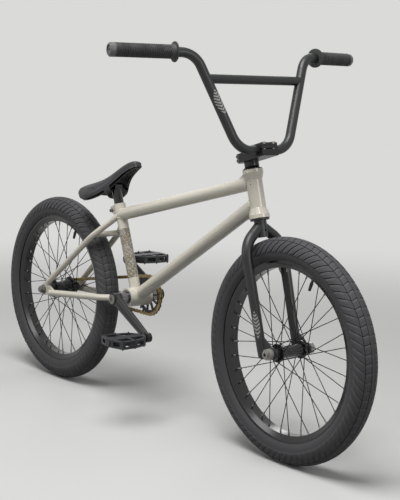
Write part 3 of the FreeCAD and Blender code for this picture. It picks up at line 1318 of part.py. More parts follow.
def fork_dropout(side):
    """Plate that carries the axle ahead of the leg, slotted from below."""
    axle = steer(0, FORK_OFFSET, side * FRONT_DROPOUT_Y)
    round_end = disc(axle, Y, 2 * FRONT_AXLE_DIAMETER + 2.0, FRONT_DROPOUT_THICKNESS)
    outline = [steer(DROPOUT_LIP - FRONT_AXLE_DIAMETER, FORK_OFFSET + DROPOUT_NOSE),
               steer(FRONT_AXLE_DIAMETER, FORK_OFFSET + DROPOUT_NOSE),
               steer(LEG_BOTTOM_UP + DROPOUT_WEB_FRONT, LEG_END_SETBACK + DROPOUT_WEB_AHEAD),
               steer(LEG_BOTTOM_UP + DROPOUT_WEB_BACK, LEG_END_SETBACK - DROPOUT_WEB_BEHIND),
               steer(LEG_BOTTOM_UP - DROPOUT_WEB_DROP, LEG_END_SETBACK - DROPOUT_WEB_BEHIND)]
    web = plate(outline, FRONT_DROPOUT_THICKNESS, side * FRONT_DROPOUT_Y)
    width = FRONT_AXLE_DIAMETER + 2 * RUNNING
    hole = disc(axle, Y, width, 2 * FRONT_DROPOUT_THICKNESS)
    away = STEER_UP * -3.0 * FRONT_AXLE_DIAMETER
    half = STEER_AHEAD * (width / 2)
    slot = plate([axle + half, axle - half, axle - half + away, axle + half + away],
                 2 * FRONT_DROPOUT_THICKNESS, side * FRONT_DROPOUT_Y)
    return cut(fuse([round_end, web]), [hole, slot])


def front_axle():
    """Axle with a cone inside each dropout."""
    outer = FRONT_HUB_WIDTH / 2
    end = outer + FRONT_DROPOUT_THICKNESS
    shaft = disc(FRONT, Y, FRONT_AXLE_DIAMETER, 2 * end)
    cones = [disc(FRONT + Y * (side * (outer - CONE_LENGTH / 2)), Y, CONE_DIAMETER, CONE_LENGTH)
             for side in SIDES]
    return cut(fuse([shaft] + cones), [disc(FRONT, Y, FRONT_AXLE_DIAMETER * FRONT_AXLE_BORE_SHARE, 4 * end)])


def front_axle_nut(side):
    """Stepped bolt head with a six-sided socket, screwed into the hollow axle."""
    face = FRONT + Y * (side * (FRONT_HUB_WIDTH / 2 + FRONT_DROPOUT_THICKNESS))
    out = Y * side
    tip = face + out * (FRONT_NUT_LENGTH + FRONT_NUT_END_LENGTH)
    body = fuse([rod(face, face + out * FRONT_NUT_LENGTH, FRONT_NUT_DIAMETER),
                 rod(face, tip, FRONT_NUT_END_DIAMETER),
                 rod(face - out * NUT_SHANK_LENGTH, face, FRONT_AXLE_DIAMETER * FRONT_AXLE_BORE_SHARE)])
    return cut(body, [hexagon(tip + out, -out, NUT_SOCKET_WIDTH,
                             NUT_SOCKET_DEPTH)])


# ---- Headset and stem -------------------------------------------------------------


def headset_dust_cap():
    profile = [(0, 0), (0, HEAD_TUBE_END_DIAMETER / 2 - 1.0), (2.0, HEAD_TUBE_END_DIAMETER / 2 - 1.0),
               (DUST_CAP_HEIGHT, DUST_CAP_TOP_DIAMETER / 2), (DUST_CAP_HEIGHT, 0)]
    cap = turned([(a + LOOSE if a == 0 else a, r) for a, r in profile], steer(HEAD_TOP), STEER_UP,
                 STEER_AHEAD)
    return cut(cap, [rod(steer(HEAD_TOP), steer(STEM_BOTTOM), STEERER_DIAMETER)])


def headset_spacer():
    return pipe(steer(SPACER_BOTTOM), steer(STEM_BOTTOM), SPACER_DIAMETER, STEERER_DIAMETER)


def stem_block(up_low, up_high, back, ahead, width):
    corners = [steer(up_low, back, -width / 2), steer(up_low, ahead, -width / 2),
               steer(up_high, ahead, -width / 2), steer(up_high, back, -width / 2)]
    return Part.Face(Part.makePolygon(corners + corners[:1])).extrude(Y * width)


STEM_FRONT = STEM_REACH + STEM_CLAMP_LENGTH / 2
STEM_CLAMP_BACK = STEM_REACH - STEM_CLAMP_LENGTH / 2


def stem_bolt_places():
    """The four bolts at the corners of the top plate."""
    reach = STEM_CLAMP_LENGTH / 2 - STEM_BOLT_HEAD_DIAMETER / 2 + STEM_BOLT_EDGE
    return [(STEM_REACH + ahead * reach, side * STEM_BOLT_SPACING / 2)
            for ahead in (-1, 1) for side in SIDES]


def pinch_places():
    return [STEM_BOTTOM + STEM_HEIGHT / 2 + step * PINCH_BOLT_SPACING / 2 for step in SIDES]


PINCH_BACK = STEM_REAR_REACH - PINCH_BOLT_DIAMETER / 2 - PINCH_BOLT_ROOM


def stem_body():
    """Steerer clamp behind, lower half of the bar clamp ahead."""
    split = BAR_UP - STEM_SPLIT / 2
    rear = stem_block(STEM_BOTTOM, STEM_TOP, -STEM_REAR_REACH, STEM_CLAMP_BACK - LOOSE, STEM_WIDTH)
    ahead = stem_block(STEM_BOTTOM, split, 0, STEM_FRONT, STEM_WIDTH)
    blank = fuse([rear, ahead])
    corners = [edge for edge in blank.Edges
               if abs(unit(edge.tangentAt(edge.FirstParameter)).dot(STEER_UP)) > 0.99
               and edge.CenterOfMass.sub(steer(0)).dot(STEER_AHEAD) < -STEM_REAR_REACH + 1.0]
    blank = blank.makeFillet(STEM_WIDTH * STEM_CORNER_SHARE, corners)
    steerer = rod(steer(STEM_BOTTOM), steer(STEM_TOP), STEERER_DIAMETER)
    bar = disc(BAR_CENTRE, Y, BAR_DIAMETER + 2 * RUNNING, 2 * STEM_WIDTH)
    slot = stem_block(STEM_BOTTOM, STEM_TOP, -2 * STEM_REAR_REACH, 0, STEM_SLOT)
    pinches = [disc(steer(up, -PINCH_BACK), Y, PINCH_BOLT_DIAMETER + HOLE_ROOM, 2 * STEM_WIDTH)
               for up in pinch_places()]
    sunk = [rod(steer(up, -PINCH_BACK, -STEM_WIDTH / 2),
                steer(up, -PINCH_BACK, PINCH_HEAD_DEPTH - STEM_WIDTH / 2),
                PINCH_BOLT_HEAD_DIAMETER + HOLE_ROOM) for up in pinch_places()]
    screws = [rod(steer(STEM_BOTTOM + 2.0, ahead_at, side_at), steer(BAR_UP, ahead_at, side_at),
                  STEM_BOLT_DIAMETER) for ahead_at, side_at in stem_bolt_places()]
    return cut(blank, [steerer, bar, slot] + pinches + sunk + screws)


def stem_top_plate():
    """Upper half of the bar clamp, drilled and counterbored for its four bolts."""
    split = BAR_UP + STEM_SPLIT / 2
    top = BAR_UP + STEM_PLATE_THICKNESS
    blank = stem_block(split, top, STEM_CLAMP_BACK, STEM_FRONT, STEM_WIDTH)
    upper = [edge for edge in blank.Edges
             if abs(edge.CenterOfMass.sub(steer(0)).dot(STEER_UP) - top) < 0.1]
    blank = blank.makeChamfer(STEM_TOP_CHAMFER, upper)
    bar = disc(BAR_CENTRE, Y, BAR_DIAMETER + 2 * RUNNING, 2 * STEM_WIDTH)
    holes, sunk = [], []
    for ahead_at, side_at in stem_bolt_places():
        holes.append(rod(steer(BAR_UP, ahead_at, side_at), steer(top + 1.0, ahead_at, side_at),
                         STEM_BOLT_DIAMETER + HOLE_ROOM))
        sunk.append(rod(steer(top - STEM_HEAD_DEPTH, ahead_at, side_at), steer(top + 1.0, ahead_at, side_at),
                        STEM_BOLT_HEAD_DIAMETER + HOLE_ROOM))
    return cut(blank, [bar] + holes + sunk)


def stem_bolts():
    """Four plate bolts, and two pinch bolts across the steerer clamp."""
    top = BAR_UP + STEM_PLATE_THICKNESS
    seat = top - STEM_HEAD_DEPTH
    bolts = [socket_bolt(steer(seat, ahead_at, side_at), STEER_UP * -1, STEM_BOLT_DIAMETER,
                         seat - STEM_BOTTOM - 2.0, STEM_BOLT_HEAD_DIAMETER, STEM_HEAD_HEIGHT)
             for ahead_at, side_at in stem_bolt_places()]
    bolts += [socket_bolt(steer(up, -PINCH_BACK, PINCH_HEAD_DEPTH - STEM_WIDTH / 2), Y, PINCH_BOLT_DIAMETER,
                          STEM_WIDTH - PINCH_BOLT_SHORT, PINCH_BOLT_HEAD_DIAMETER, PINCH_BOLT_DIAMETER)
              for up in pinch_places()]
    return Part.makeCompound(bolts)


def steerer_cap_bolt():
    """Wide-headed bolt that closes the steerer and preloads the bearings."""
    seat = steer(STEM_TOP)
    return socket_bolt(seat, STEER_UP * -1, STEERER_BORE, CAP_BOLT_LENGTH,
                       CAP_BOLT_DIAMETER, CAP_BOLT_HEAD_HEIGHT)


# ---- Handlebar --------------------------------------------------------------------

BAR_PLANE_UP = polar(90 + BAR_LEAN)


def bar_point(height, left):
    return BAR_CENTRE + BAR_PLANE_UP * height + Y * left


def grip_direction(side):
    sweep = math.radians(BAR_BACKSWEEP)
    return V(-math.sin(sweep), side * math.cos(sweep), 0)


def bar_height():
    return BAR_RISE / math.cos(math.radians(BAR_LEAN))


def upright_spread(height):
    return BAR_CORNER + height * math.tan(math.radians(BAR_FLARE))


def bar_end_point(side):
    corner = bar_point(bar_height(), side * upright_spread(bar_height()))
    reach = BAR_WIDTH / 2 - upright_spread(bar_height())
    return corner + grip_direction(side) * (reach / math.cos(math.radians(BAR_BACKSWEEP)))


def bar_path():
    lower, upper = BAR_LOWER_BEND, BAR_UPPER_BEND
    height = bar_height()
    spread = upright_spread(height)
    points = [bar_end_point(-1), bar_point(height, -spread), bar_point(0, -BAR_CORNER),
              bar_point(0, BAR_CORNER), bar_point(height, spread), bar_end_point(1)]
    return rounded_path(points, [upper, lower, lower, upper])


def handlebar():
    return swept_pipe(bar_path(), BAR_DIAMETER, BAR_WALL)


def crossbar():
    """Straight brace between the uprights, mitred on both."""
    reach = upright_spread(CROSSBAR_HEIGHT)
    start, end = bar_point(CROSSBAR_HEIGHT, -reach), bar_point(CROSSBAR_HEIGHT, reach)
    bar = pipe(start, end, CROSSBAR_DIAMETER, CROSSBAR_DIAMETER - 2 * BAR_WALL)
    uprights = [rod(bar_point(0, side * BAR_CORNER), bar_point(bar_height(), side * upright_spread(
        bar_height())), BAR_DIAMETER) for side in SIDES]
    return cut(bar, uprights)


def grip(side):
    """Rubber sleeve with a flange at its inner end."""
    out = grip_direction(side)
    end = bar_end_point(side)
    radius, flange = GRIP_DIAMETER / 2, GRIP_FLANGE_DIAMETER / 2
    profile = [(0, BAR_RADIUS), (0, flange), (GRIP_FLANGE_THICKNESS, flange),
               (GRIP_FLANGE_THICKNESS, radius + GRIP_COLLAR_RISE), (GRIP_COLLAR_LENGTH, radius),
               (GRIP_LENGTH, radius), (GRIP_LENGTH, BAR_RADIUS)]
    return turned(profile, end - out * GRIP_LENGTH, out, Z)


def bar_end(side):
    """Plug pressed into the open end of the bar, with a rounded cap over the grip's end."""
    out = grip_direction(side)
    end = bar_end_point(side)
    bore = BAR_DIAMETER - 2 * BAR_WALL
    edge, recess, screw = BAR_END_DIAMETER / 2, BAR_END_RECESS_DIAMETER / 2, BAR_END_SCREW_DIAMETER / 2
    floor = BAR_END_THICKNESS - BAR_END_RECESS_DEPTH
    profile = [(-BAR_END_PLUG_LENGTH, 0), (-BAR_END_PLUG_LENGTH, bore / 2), (0, bore / 2), (0, edge),
               (BAR_END_THICKNESS - BAR_END_ROUNDING, edge),
               (BAR_END_THICKNESS, edge - BAR_END_ROUNDING), (BAR_END_THICKNESS, recess),
               (floor, recess), (floor, screw), (floor - BAR_END_SCREW_DEPTH, screw),
               (floor - BAR_END_SCREW_DEPTH, 0)]
    return turned(profile, end, out, Z)


# ---- Saddle -----------------------------------------------------------------------

PIVOT = SEAT_TOP + SEAT_UP * (POST_EXPOSED + PIVOT_RISE)
SADDLE_AHEAD = polar(SADDLE_TILT)
SADDLE_UP = polar(SADDLE_TILT + 90)


def seat_post():
    """Tube with a round-topped pivot head across its upper end."""
    low = SEAT_TOP + SEAT_UP * (POST_EXPOSED - POST_LENGTH)
    neck = SEAT_TOP + SEAT_UP * POST_EXPOSED
    tube = rod(low, PIVOT, POST_DIAMETER)
    bore = rod(low, neck - SEAT_UP * POST_BORE_STOP, POST_DIAMETER - 2 * POST_WALL)
    head = disc(PIVOT, Y, 2 * PIVOT_RADIUS, PIVOT_WIDTH)
    far = 2.0 * PIVOT_RADIUS
    near = SADDLE_BOLT_DIAMETER / 2 + 1.0
    wide = near + far * math.tan(math.radians(SADDLE_TILT_RANGE))
    back = -PIVOT_RADIUS * PIVOT_SLOT_SHARE
    corners = [(back, -near), (back, near), (far, wide), (far, -wide)]
    slot = plate([PIVOT + SADDLE_UP * up + SADDLE_AHEAD * ahead for up, ahead in corners],
                 SADDLE_BOLT_DIAMETER + 2 * LOOSE, 0)
    return cut(fuse([tube, head]), [bore, slot])


def saddle_arch(section, down, low, out):
    """Points of an arch across the saddle, its top down below the ridge and its ends low below."""
    share, ridge = section[:2]
    along = SADDLE_AHEAD * (SADDLE_LENGTH * (share - SADDLE_PIVOT_SHARE))
    points = []
    for turn in range(-90, 91, 30):
        lean = math.radians(turn)
        fall = ridge - down - (low - down) * (1 - math.cos(lean))
        points.append(PIVOT + along + SADDLE_UP * (SADDLE_RISE + fall) + Y * (out * math.sin(lean)))
    return points


def crescent(upper, lower):
    """Closed wire between two arches."""
    lower = lower[::-1]
    curves = []
    for points in (upper, lower):
        curve = Part.BSplineCurve()
        curve.interpolate(points)
        curves.append(curve.toShape())
    return Part.Wire([curves[0], Part.makeLine(upper[-1], lower[0]), curves[1],
                      Part.makeLine(lower[-1], upper[0])])


def pad_wire(section):
    """Outline of the pad across one section."""
    share, ridge, half, drop, thick, edge = section
    return crescent(saddle_arch(section, 0, drop, half),
                    saddle_arch(section, thick, drop + edge, half * (1 - SADDLE_TUCK)))


def base_wire(section, room, wall):
    """Outline of a shell of that wall, a given room below the pad."""
    share, ridge, half, drop, thick, edge = section
    out = half * (1 - SADDLE_TUCK) - SADDLE_BASE_INSET
    top = thick + room
    return crescent(saddle_arch(section, top, drop + edge, out),
                    saddle_arch(section, top + wall, drop + edge, out - wall))


def saddle_pad():
    """Foam pad with a small hole over the bolt."""
    pad = Part.makeLoft([pad_wire(section) for section in SADDLE_SECTIONS], True, False).Solids[0]
    well = rod(PIVOT, PIVOT + SADDLE_UP * (2 * SADDLE_RISE), SADDLE_BOLT_HEAD_DIAMETER + 2 * LOOSE)
    return cut(pad, [well])


def over_pivot():
    """Ridge height and pad thickness above the pivot."""
    for before, after in zip(SADDLE_SECTIONS, SADDLE_SECTIONS[1:]):
        if before[0] <= SADDLE_PIVOT_SHARE <= after[0]:
            share = (SADDLE_PIVOT_SHARE - before[0]) / (after[0] - before[0])
            return [before[i] + (after[i] - before[i]) * share for i in (1, 4)]


RIDGE_HEIGHT, RIDGE_PAD = over_pivot()
BOLT_SEAT = PIVOT + SADDLE_UP * (SADDLE_RISE + RIDGE_HEIGHT - RIDGE_PAD - SADDLE_SEAM
                                 - SADDLE_SHELL_THICKNESS / 2)


def saddle_base():
    """Thin shell under the pad, with a cradle that sits on the post's pivot head."""
    under = SADDLE_SECTIONS[2:-1]
    shell = Part.makeLoft([base_wire(section, SADDLE_SEAM, SADDLE_SHELL_THICKNESS)
                           for section in under], True, False).Solids[0]
    low = PIVOT_RADIUS * CRADLE_LOW_SHARE
    half = PIVOT_RADIUS + CRADLE_WALL
    wide = half * CRADLE_FLARE
    corners = [(low, -half), (low, half), (SADDLE_RISE, wide), (SADDLE_RISE, -wide)]
    block = plate([PIVOT + SADDLE_UP * up + SADDLE_AHEAD * ahead for up, ahead in corners],
                  PIVOT_WIDTH, 0)
    over = Part.makeLoft([crescent(saddle_arch(section, -SADDLE_RISE, section[3], section[2]),
                                   saddle_arch(section, section[4] + SADDLE_SEAM + LOOSE,
                                               section[3] + section[5], section[2]))
                          for section in under], True, False).Solids[0]
    block = cut(block, [over])
    room = disc(PIVOT, Y, 2 * (PIVOT_RADIUS + LOOSE), 4 * PIVOT_WIDTH)
    hole = rod(PIVOT, BOLT_SEAT, SADDLE_BOLT_DIAMETER + HOLE_ROOM)
    sunk = rod(BOLT_SEAT, BOLT_SEAT + SADDLE_UP * SADDLE_RISE, SADDLE_BOLT_HEAD_DIAMETER + 2 * LOOSE)
    return cut(fuse([shell, block]), [room, hole, sunk])


def saddle_bolt():
    """Down through the cradle, to a little below the pivot head's middle."""
    length = (BOLT_SEAT - PIVOT).Length + PIVOT_RADIUS * SADDLE_BOLT_PAST_SHARE
    return socket_bolt(BOLT_SEAT, SADDLE_UP * -1, SADDLE_BOLT_DIAMETER, length,
                       SADDLE_BOLT_HEAD_DIAMETER, SADDLE_BOLT_HEAD_HEIGHT)


# ---- Build every node -------------------------------------------------------------

FRONT_SPOKES = spoke_lines(FRONT, FRONT_FLANGE_Y, FRONT_HOLES)
REAR_SPOKES = spoke_lines(REAR, REAR_FLANGE_Y, REAR_HOLES)


def pair(make):
    return Part.makeCompound([make(side) for side in SIDES])


NODES = {
    "head_tube": head_tube,
    "top_tube": top_tube,
    "down_tube": down_tube,
    "seat_tube": seat_tube,
    "bottom_bracket_shell": bottom_bracket_shell,
    "chain_stays": chain_stays,
    "seat_stays": seat_stays,
    "stay_bridges": stay_bridges,
    "rear_dropouts": lambda: pair(rear_dropout),
    "frame_gussets": frame_gussets,
    "seat_clamp": seat_clamp,
    "seat_clamp_bolt": seat_clamp_bolt,
    "headset_bearings": headset_bearings,
    "bottom_bracket_bearings": bb_bearings,
    "rear_axle": rear_axle,
    "rear_axle_nuts": lambda: pair(rear_axle_nut),
    "chain": chain,
    "seat_post": seat_post,
    "saddle_pad": saddle_pad,
    "saddle_base": saddle_base,
    "saddle_bolt": saddle_bolt,
    "steerer_tube": steerer_tube,
    "fork_leg_left": lambda: fork_leg(1),
    "fork_leg_right": lambda: fork_leg(-1),
    "fork_dropouts": lambda: pair(fork_dropout),
    "front_axle": front_axle,
    "front_axle_nuts": lambda: pair(front_axle_nut),
    "headset_dust_cap": headset_dust_cap,
    "headset_spacer": headset_spacer,
    "stem_body": stem_body,
    "stem_top_plate": stem_top_plate,
    "stem_bolts": stem_bolts,
    "steerer_cap_bolt": steerer_cap_bolt,
    "handlebar": handlebar,
    "crossbar": crossbar,
    "grip_left": lambda: grip(1),
    "grip_right": lambda: grip(-1),
    "bar_ends": lambda: pair(bar_end),
    "front_tyre": lambda: tyre(FRONT),
    "front_inner_tube": lambda: inner_tube(FRONT),
    "front_rim": lambda: rim(FRONT, rim_ends(FRONT_SPOKES)),
    "front_spokes": lambda: spokes(FRONT_SPOKES),
    "front_hub_shell": lambda: front_hub_shell(FRONT_SPOKES),
    "front_hub_bearings": front_hub_bearings,
    "rear_tyre": lambda: tyre(REAR),
    "rear_inner_tube": lambda: inner_tube(REAR),
    "rear_rim": lambda: rim(REAR, rim_ends(REAR_SPOKES)),
    "rear_spokes": lambda: spokes(REAR_SPOKES),
    "rear_hub_shell": lambda: rear_hub_shell(REAR_SPOKES),
    "rear_hub_bearings": rear_hub_bearings,
    "driver_cog": driver_cog,
    "crank_spindle": crank_spindle,
    "crank_arm_left": lambda: crank_arm(1),
    "crank_arm_right": lambda: crank_arm(-1),
    "crank_spacers": crank_spacers,
    "sprocket": sprocket,
    "crank_bolts": crank_bolts,
    "pedal_axles": lambda: pair(pedal_axle),
    "pedal_left": lambda: pedal(1),
    "pedal_right": lambda: pedal(-1),
}

os.makedirs("parts", exist_ok=True)
for name, make in NODES.items():
    shape = make()
    if shape.ShapeType == "Compound" and len(shape.Solids) == 1:
        shape = shape.Solids[0]
    shape.exportStep(os.path.join("parts", name + ".step"))
    print(f"{name:26s} solids {len(shape.Solids):3d}  volume {shape.Volume / 1000:9.2f} cm3"
          f"  {'valid' if shape.isValid() else 'NOT VALID'}")
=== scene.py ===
# %% [markdown]
# # A freestyle BMX bike, dressed in Blender
#
# The bike's construction comes ready made: a CAD model at real size, with every tube, bearing
# and bolt in its place. This lesson gives it its looks. Hard parts keep their CAD mesh and get a
# finish; rubber, foam and welds, whose shape is more than plain solids, get a mesh of their own.

# %% Load the bike
import json
import math

import bmesh
import bpy
import numpy as np
from mathutils import Matrix, Vector
from mathutils.bvhtree import BVHTree


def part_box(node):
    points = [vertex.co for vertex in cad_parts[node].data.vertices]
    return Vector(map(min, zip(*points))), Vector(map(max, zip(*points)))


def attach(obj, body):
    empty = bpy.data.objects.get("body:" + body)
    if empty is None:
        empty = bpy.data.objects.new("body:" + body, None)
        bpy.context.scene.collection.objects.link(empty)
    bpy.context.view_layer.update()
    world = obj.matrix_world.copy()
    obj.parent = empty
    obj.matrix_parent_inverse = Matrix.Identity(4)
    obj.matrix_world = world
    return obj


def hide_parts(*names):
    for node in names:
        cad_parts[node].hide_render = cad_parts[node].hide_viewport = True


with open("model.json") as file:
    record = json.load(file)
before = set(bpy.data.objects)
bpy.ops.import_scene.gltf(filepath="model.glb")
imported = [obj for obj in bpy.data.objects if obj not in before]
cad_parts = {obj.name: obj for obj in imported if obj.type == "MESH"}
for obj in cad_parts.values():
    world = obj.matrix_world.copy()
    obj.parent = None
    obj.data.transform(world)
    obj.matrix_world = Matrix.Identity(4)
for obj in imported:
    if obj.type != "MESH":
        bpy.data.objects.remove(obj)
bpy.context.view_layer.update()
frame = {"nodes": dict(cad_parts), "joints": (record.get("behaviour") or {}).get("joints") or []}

MM = 0.001
for stray in ("Cube", "Light", "Camera"):
    if stray in bpy.data.objects:
        bpy.data.objects.remove(bpy.data.objects[stray])

# %% [markdown]
# ## The camera
#
# The bike is seen from its front right, a little above the bars' height. A long lens from almost
# three metres away keeps the wheels nearly round. The camera's place, its heading, its dip and
# its slight roll are four plain values, and the lens follows from the view's width.

# %% Place the camera
CAMERA_PLACE = Vector((2.36194, -1.81407, 0.85767))
CAMERA_HEADING = 2.456035
CAMERA_DIP = -0.143523
CAMERA_ROLL = 0.029192
CAMERA_LENS = 85.96


def aim_camera():
    """Looks along the heading and dip, then rolls about the line of sight."""
    flat = Vector((math.cos(CAMERA_HEADING), math.sin(CAMERA_HEADING), 0))
    ahead = flat * math.cos(CAMERA_DIP) + Vector((0, 0, math.sin(CAMERA_DIP)))
    level_right = ahead.cross(Vector((0, 0, 1))).normalized()
    level_up = level_right.cross(ahead)
    right = level_right * math.cos(CAMERA_ROLL) + level_up * math.sin(CAMERA_ROLL)
    up = level_up * math.cos(CAMERA_ROLL) - level_right * math.sin(CAMERA_ROLL)
    data = bpy.data.cameras.new("camera")
    data.lens = CAMERA_LENS
    data.clip_start = 0.05
    data.clip_end = 200
    camera = bpy.data.objects.new("camera", data)
    bpy.context.scene.collection.objects.link(camera)
    turn = Matrix((right, up, -ahead)).transposed()
    camera.matrix_world = Matrix.Translation(CAMERA_PLACE) @ turn.to_4x4()
    bpy.context.scene.camera = camera


aim_camera()
print("camera looks from", [round(v, 3) for v in CAMERA_PLACE])

# %% [markdown]
# ## Writing materials as arithmetic
#
# A Blender material is a graph of nodes. Laying one out by hand hides the idea behind it, so two
# small classes let it be written as a formula: `Value` wraps a socket and knows + - * /, and
# `Paint` adds any other node in one call. Numbers that never change over a surface are worked
# out here in Python and set on the sockets.

# %% Two helper classes


class Value:
    """A socket whose arithmetic adds Math nodes to its material."""

    def __init__(self, paint, socket):
        self.paint = paint
        self.socket = socket

    def maths(self, operation, first, second=0.0):
        return self.paint.maths(operation, first, second)

    def __add__(self, other):
        return self.maths("ADD", self, other)

    __radd__ = __add__

    def __sub__(self, other):
        return self.maths("SUBTRACT", self, other)

    def __rsub__(self, other):
        return self.maths("SUBTRACT", other, self)

    def __mul__(self, other):
        return self.maths("MULTIPLY", self, other)

    __rmul__ = __mul__

    def __truediv__(self, other):
        return self.maths("DIVIDE", self, other)

    def wave(self, period):
        """1 at every whole period and -1 halfway between."""
        return self.maths("COSINE", self * (2 * math.pi / period))

    def above(self, level, soft):
        """0 below the level and 1 above it, with an edge as wide as soft."""
        ends = {"From Min": level - soft / 2, "From Max": level + soft / 2}
        return self.paint.node("MapRange", {"interpolation_type": "SMOOTHSTEP"},
                               {"Value": self, **ends})

    def within(self, low, high, soft):
        """1 between two levels, with soft edges."""
        return self.above(low, soft) - self.above(high, soft)

    def larger(self, other):
        return self.maths("MAXIMUM", self, other)

    def smaller(self, other):
        return self.maths("MINIMUM", self, other)

    def size(self):
        return self.maths("ABSOLUTE", self)

    def rest(self, period):
        """What is left of the value after whole periods, from 0 up to the period."""
        return self.maths("FLOORED_MODULO", self, period)


class Paint:
    """The nodes of one material, or of the world, being mixed."""

    def __init__(self, owner):
        self.owner = owner
        owner.use_nodes = True
        self.tree = owner.node_tree
        self.tree.nodes.clear()

    def node(self, kind, settings=None, inputs=None, output=0):
        """Adds a node: its settings first, then a value or a link for each socket."""
        made = self.tree.nodes.new("ShaderNode" + kind)
        for key, value in (settings or {}).items():
            setattr(made, key, value)
        for key, value in (inputs or {}).items():
            socket = made.inputs[key]
            if isinstance(value, Value):
                self.tree.links.new(value.socket, socket)
            else:
                socket.default_value = value
        return None if output is None else Value(self, made.outputs[output])

    def place(self):
        """The point on the surface, in metres, in the bike's own frame."""
        return self.node("TexCoord", output="Object")

    def noise(self, size, detail=3.0, where=None):
        """Cloudy noise about 0.5, with features as large as size in metres."""
        return self.node("TexNoise", {}, {"Vector": where or self.place(), "Scale": 1 / size,
                                          "Detail": detail})

    def along(self, start, direction):
        """Distance of the surface point from start, measured along a direction."""
        away = self.node("VectorMath", {"operation": "SUBTRACT"},
                         {0: self.place(), 1: tuple(start)})
        return self.node("VectorMath", {"operation": "DOT_PRODUCT"},
                         {0: away, 1: tuple(direction)}, "Value")

    def around(self, line, front):
        """Distance along a line and angle round it, with angle 0 towards the front."""
        middle, axis = line[:2]
        axis, front = Vector(axis), Vector(front)
        front = (front - axis * front.dot(axis)).normalized()
        right = axis.cross(front)
        turn = self.maths("ARCTAN2", self.along(middle, right), self.along(middle, front))
        return self.along(middle, axis), turn

    def maths(self, operation, first, second=0.0):
        return self.node("Math", {"operation": operation}, {0: first, 1: second})

    def blend(self, amount, first, second):
        """A colour between two colours."""
        return self.node("Mix", {"data_type": "RGBA"}, {0: amount, 6: first, 7: second}, 2)

    def relief(self, height, depth, strength=1.0):
        """A normal for a surface whose height goes from 0 to 1 over that depth in metres."""
        return self.node("Bump", {}, {"Height": height, "Distance": depth, "Strength": strength})

    def done(self, **sockets):
        """Joins everything in one Principled shader. Socket names are written with underscores."""
        named = {key.replace("_", " "): value for key, value in sockets.items()}
        self.node("OutputMaterial", {}, {"Surface": self.node("BsdfPrincipled", {}, named)}, None)
        return self.owner


def rgb(red, green, blue):
    """A colour given as seen on screen, 0 to 255, turned into light values."""
    seen = np.array([red, green, blue]) / 255
    light = np.where(seen <= 0.04045, seen / 12.92, ((seen + 0.055) / 1.055) ** 2.4)
    return (*light.tolist(), 1.0)


def new_paint(name):
    return Paint(bpy.data.materials.new(name))


print("material helpers ready")

# %% [markdown]
# ## The studio
#
# A product studio is a pale floor that runs on into a pale background without a line, one large
# soft box overhead and weaker ones at the sides. The floor is a wide disc whose colour fades into
# the background's before the horizon. Floor and background are pale only for the camera and for
# reflections. To soft light they are darker, so the tubes keep the shade on their undersides.

# %% Floor, background and lamps
PALE = rgb(218, 218, 217)
FLOOR_COLOUR = rgb(201, 201, 200)
FLOOR_BOUNCE = rgb(84, 84, 83)
FLOOR_RADIUS = 80.0
FADE_FROM, FADE_TO = 0.9, 3.4
SKY_LIGHT = 0.12


def seen_directly(paint):
    """1 for the camera and for rays that were mirrored or let through, 0 for soft light."""
    path = [paint.node("LightPath", output="Is %s Ray" % kind)
            for kind in ("Camera", "Glossy", "Transmission")]
    return path[0].larger(path[1]).larger(path[2])


def studio_floor():
    steps = np.linspace(0, 2 * math.pi, 96, endpoint=False)
    rim = np.c_[np.cos(steps), np.sin(steps), 0 * steps] * FLOOR_RADIUS
    mesh = bpy.data.meshes.new("studio_floor")
    mesh.from_pydata(rim.tolist(), [], [list(range(len(rim)))])
    floor = bpy.data.objects.new("studio_floor", mesh)
    bpy.context.scene.collection.objects.link(floor)
    paint = new_paint("floor_paper")
    distance = paint.node("VectorMath", {"operation": "LENGTH"}, {0: paint.place()}, "Value")
    far = distance.above((FADE_FROM + FADE_TO) / 2, FADE_TO - FADE_FROM)
    colour = paint.blend(seen_directly(paint), FLOOR_BOUNCE, FLOOR_COLOUR)
    paper = paint.node("BsdfPrincipled", {}, {"Base Color": colour, "Roughness": 0.85,
                                              "Specular IOR Level": 0.2})
    glow = paint.node("Emission", {}, {"Color": PALE})
    shader = paint.node("MixShader", {}, {0: far, 1: paper, 2: glow})
    paint.node("OutputMaterial", {}, {"Surface": shader}, None)
    mesh.materials.append(paint.owner)


def studio_world():
    world = bpy.data.worlds.new("studio")
    bpy.context.scene.world = world
    paint = Paint(world)
    seen = paint.node("Background", {}, {"Color": PALE, "Strength": 1.0})
    soft = paint.node("Background", {}, {"Color": (1, 1, 1, 1), "Strength": SKY_LIGHT})
    mixed = paint.node("MixShader", {}, {0: seen_directly(paint), 1: soft, 2: seen})
    paint.node("OutputWorld", {}, {"Surface": mixed}, None)


def soft_box(name, place, target, width, power):
    """A square lamp that faces its target."""
    data = bpy.data.lights.new(name, "AREA")
    data.size = width
    data.energy = power
    lamp = bpy.data.objects.new(name, data)
    lamp.location = place
    lamp.rotation_mode = "QUATERNION"
    lamp.rotation_quaternion = (Vector(target) - Vector(place)).to_track_quat("-Z", "Y")
    bpy.context.scene.collection.objects.link(lamp)


studio_floor()
studio_world()
soft_box("lamp_overhead", (0.5, -0.9, 3.2), (0, 0, 0.4), 1.8, 112)
soft_box("lamp_front", (3.8, 0.4, 1.7), (0, 0, 0.5), 1.2, 24)
soft_box("lamp_side", (-1.6, -3.4, 1.7), (0, 0, 0.4), 1.2, 20)
soft_box("lamp_back", (-2.6, 3.2, 2.2), (0, 0, 0.4), 1.4, 20)
bpy.context.scene.view_settings.view_transform = "Standard"
print("studio ready")

# %% [markdown]
# ## Finishes of the hard parts
#
# Each finish is one function of a few values. Paint, anodising and steel all share the same
# recipe: a base colour that varies by a few percent, a roughness that varies with it, and a fine
# relief such as orange peel or grain, so that no surface is a flat colour.

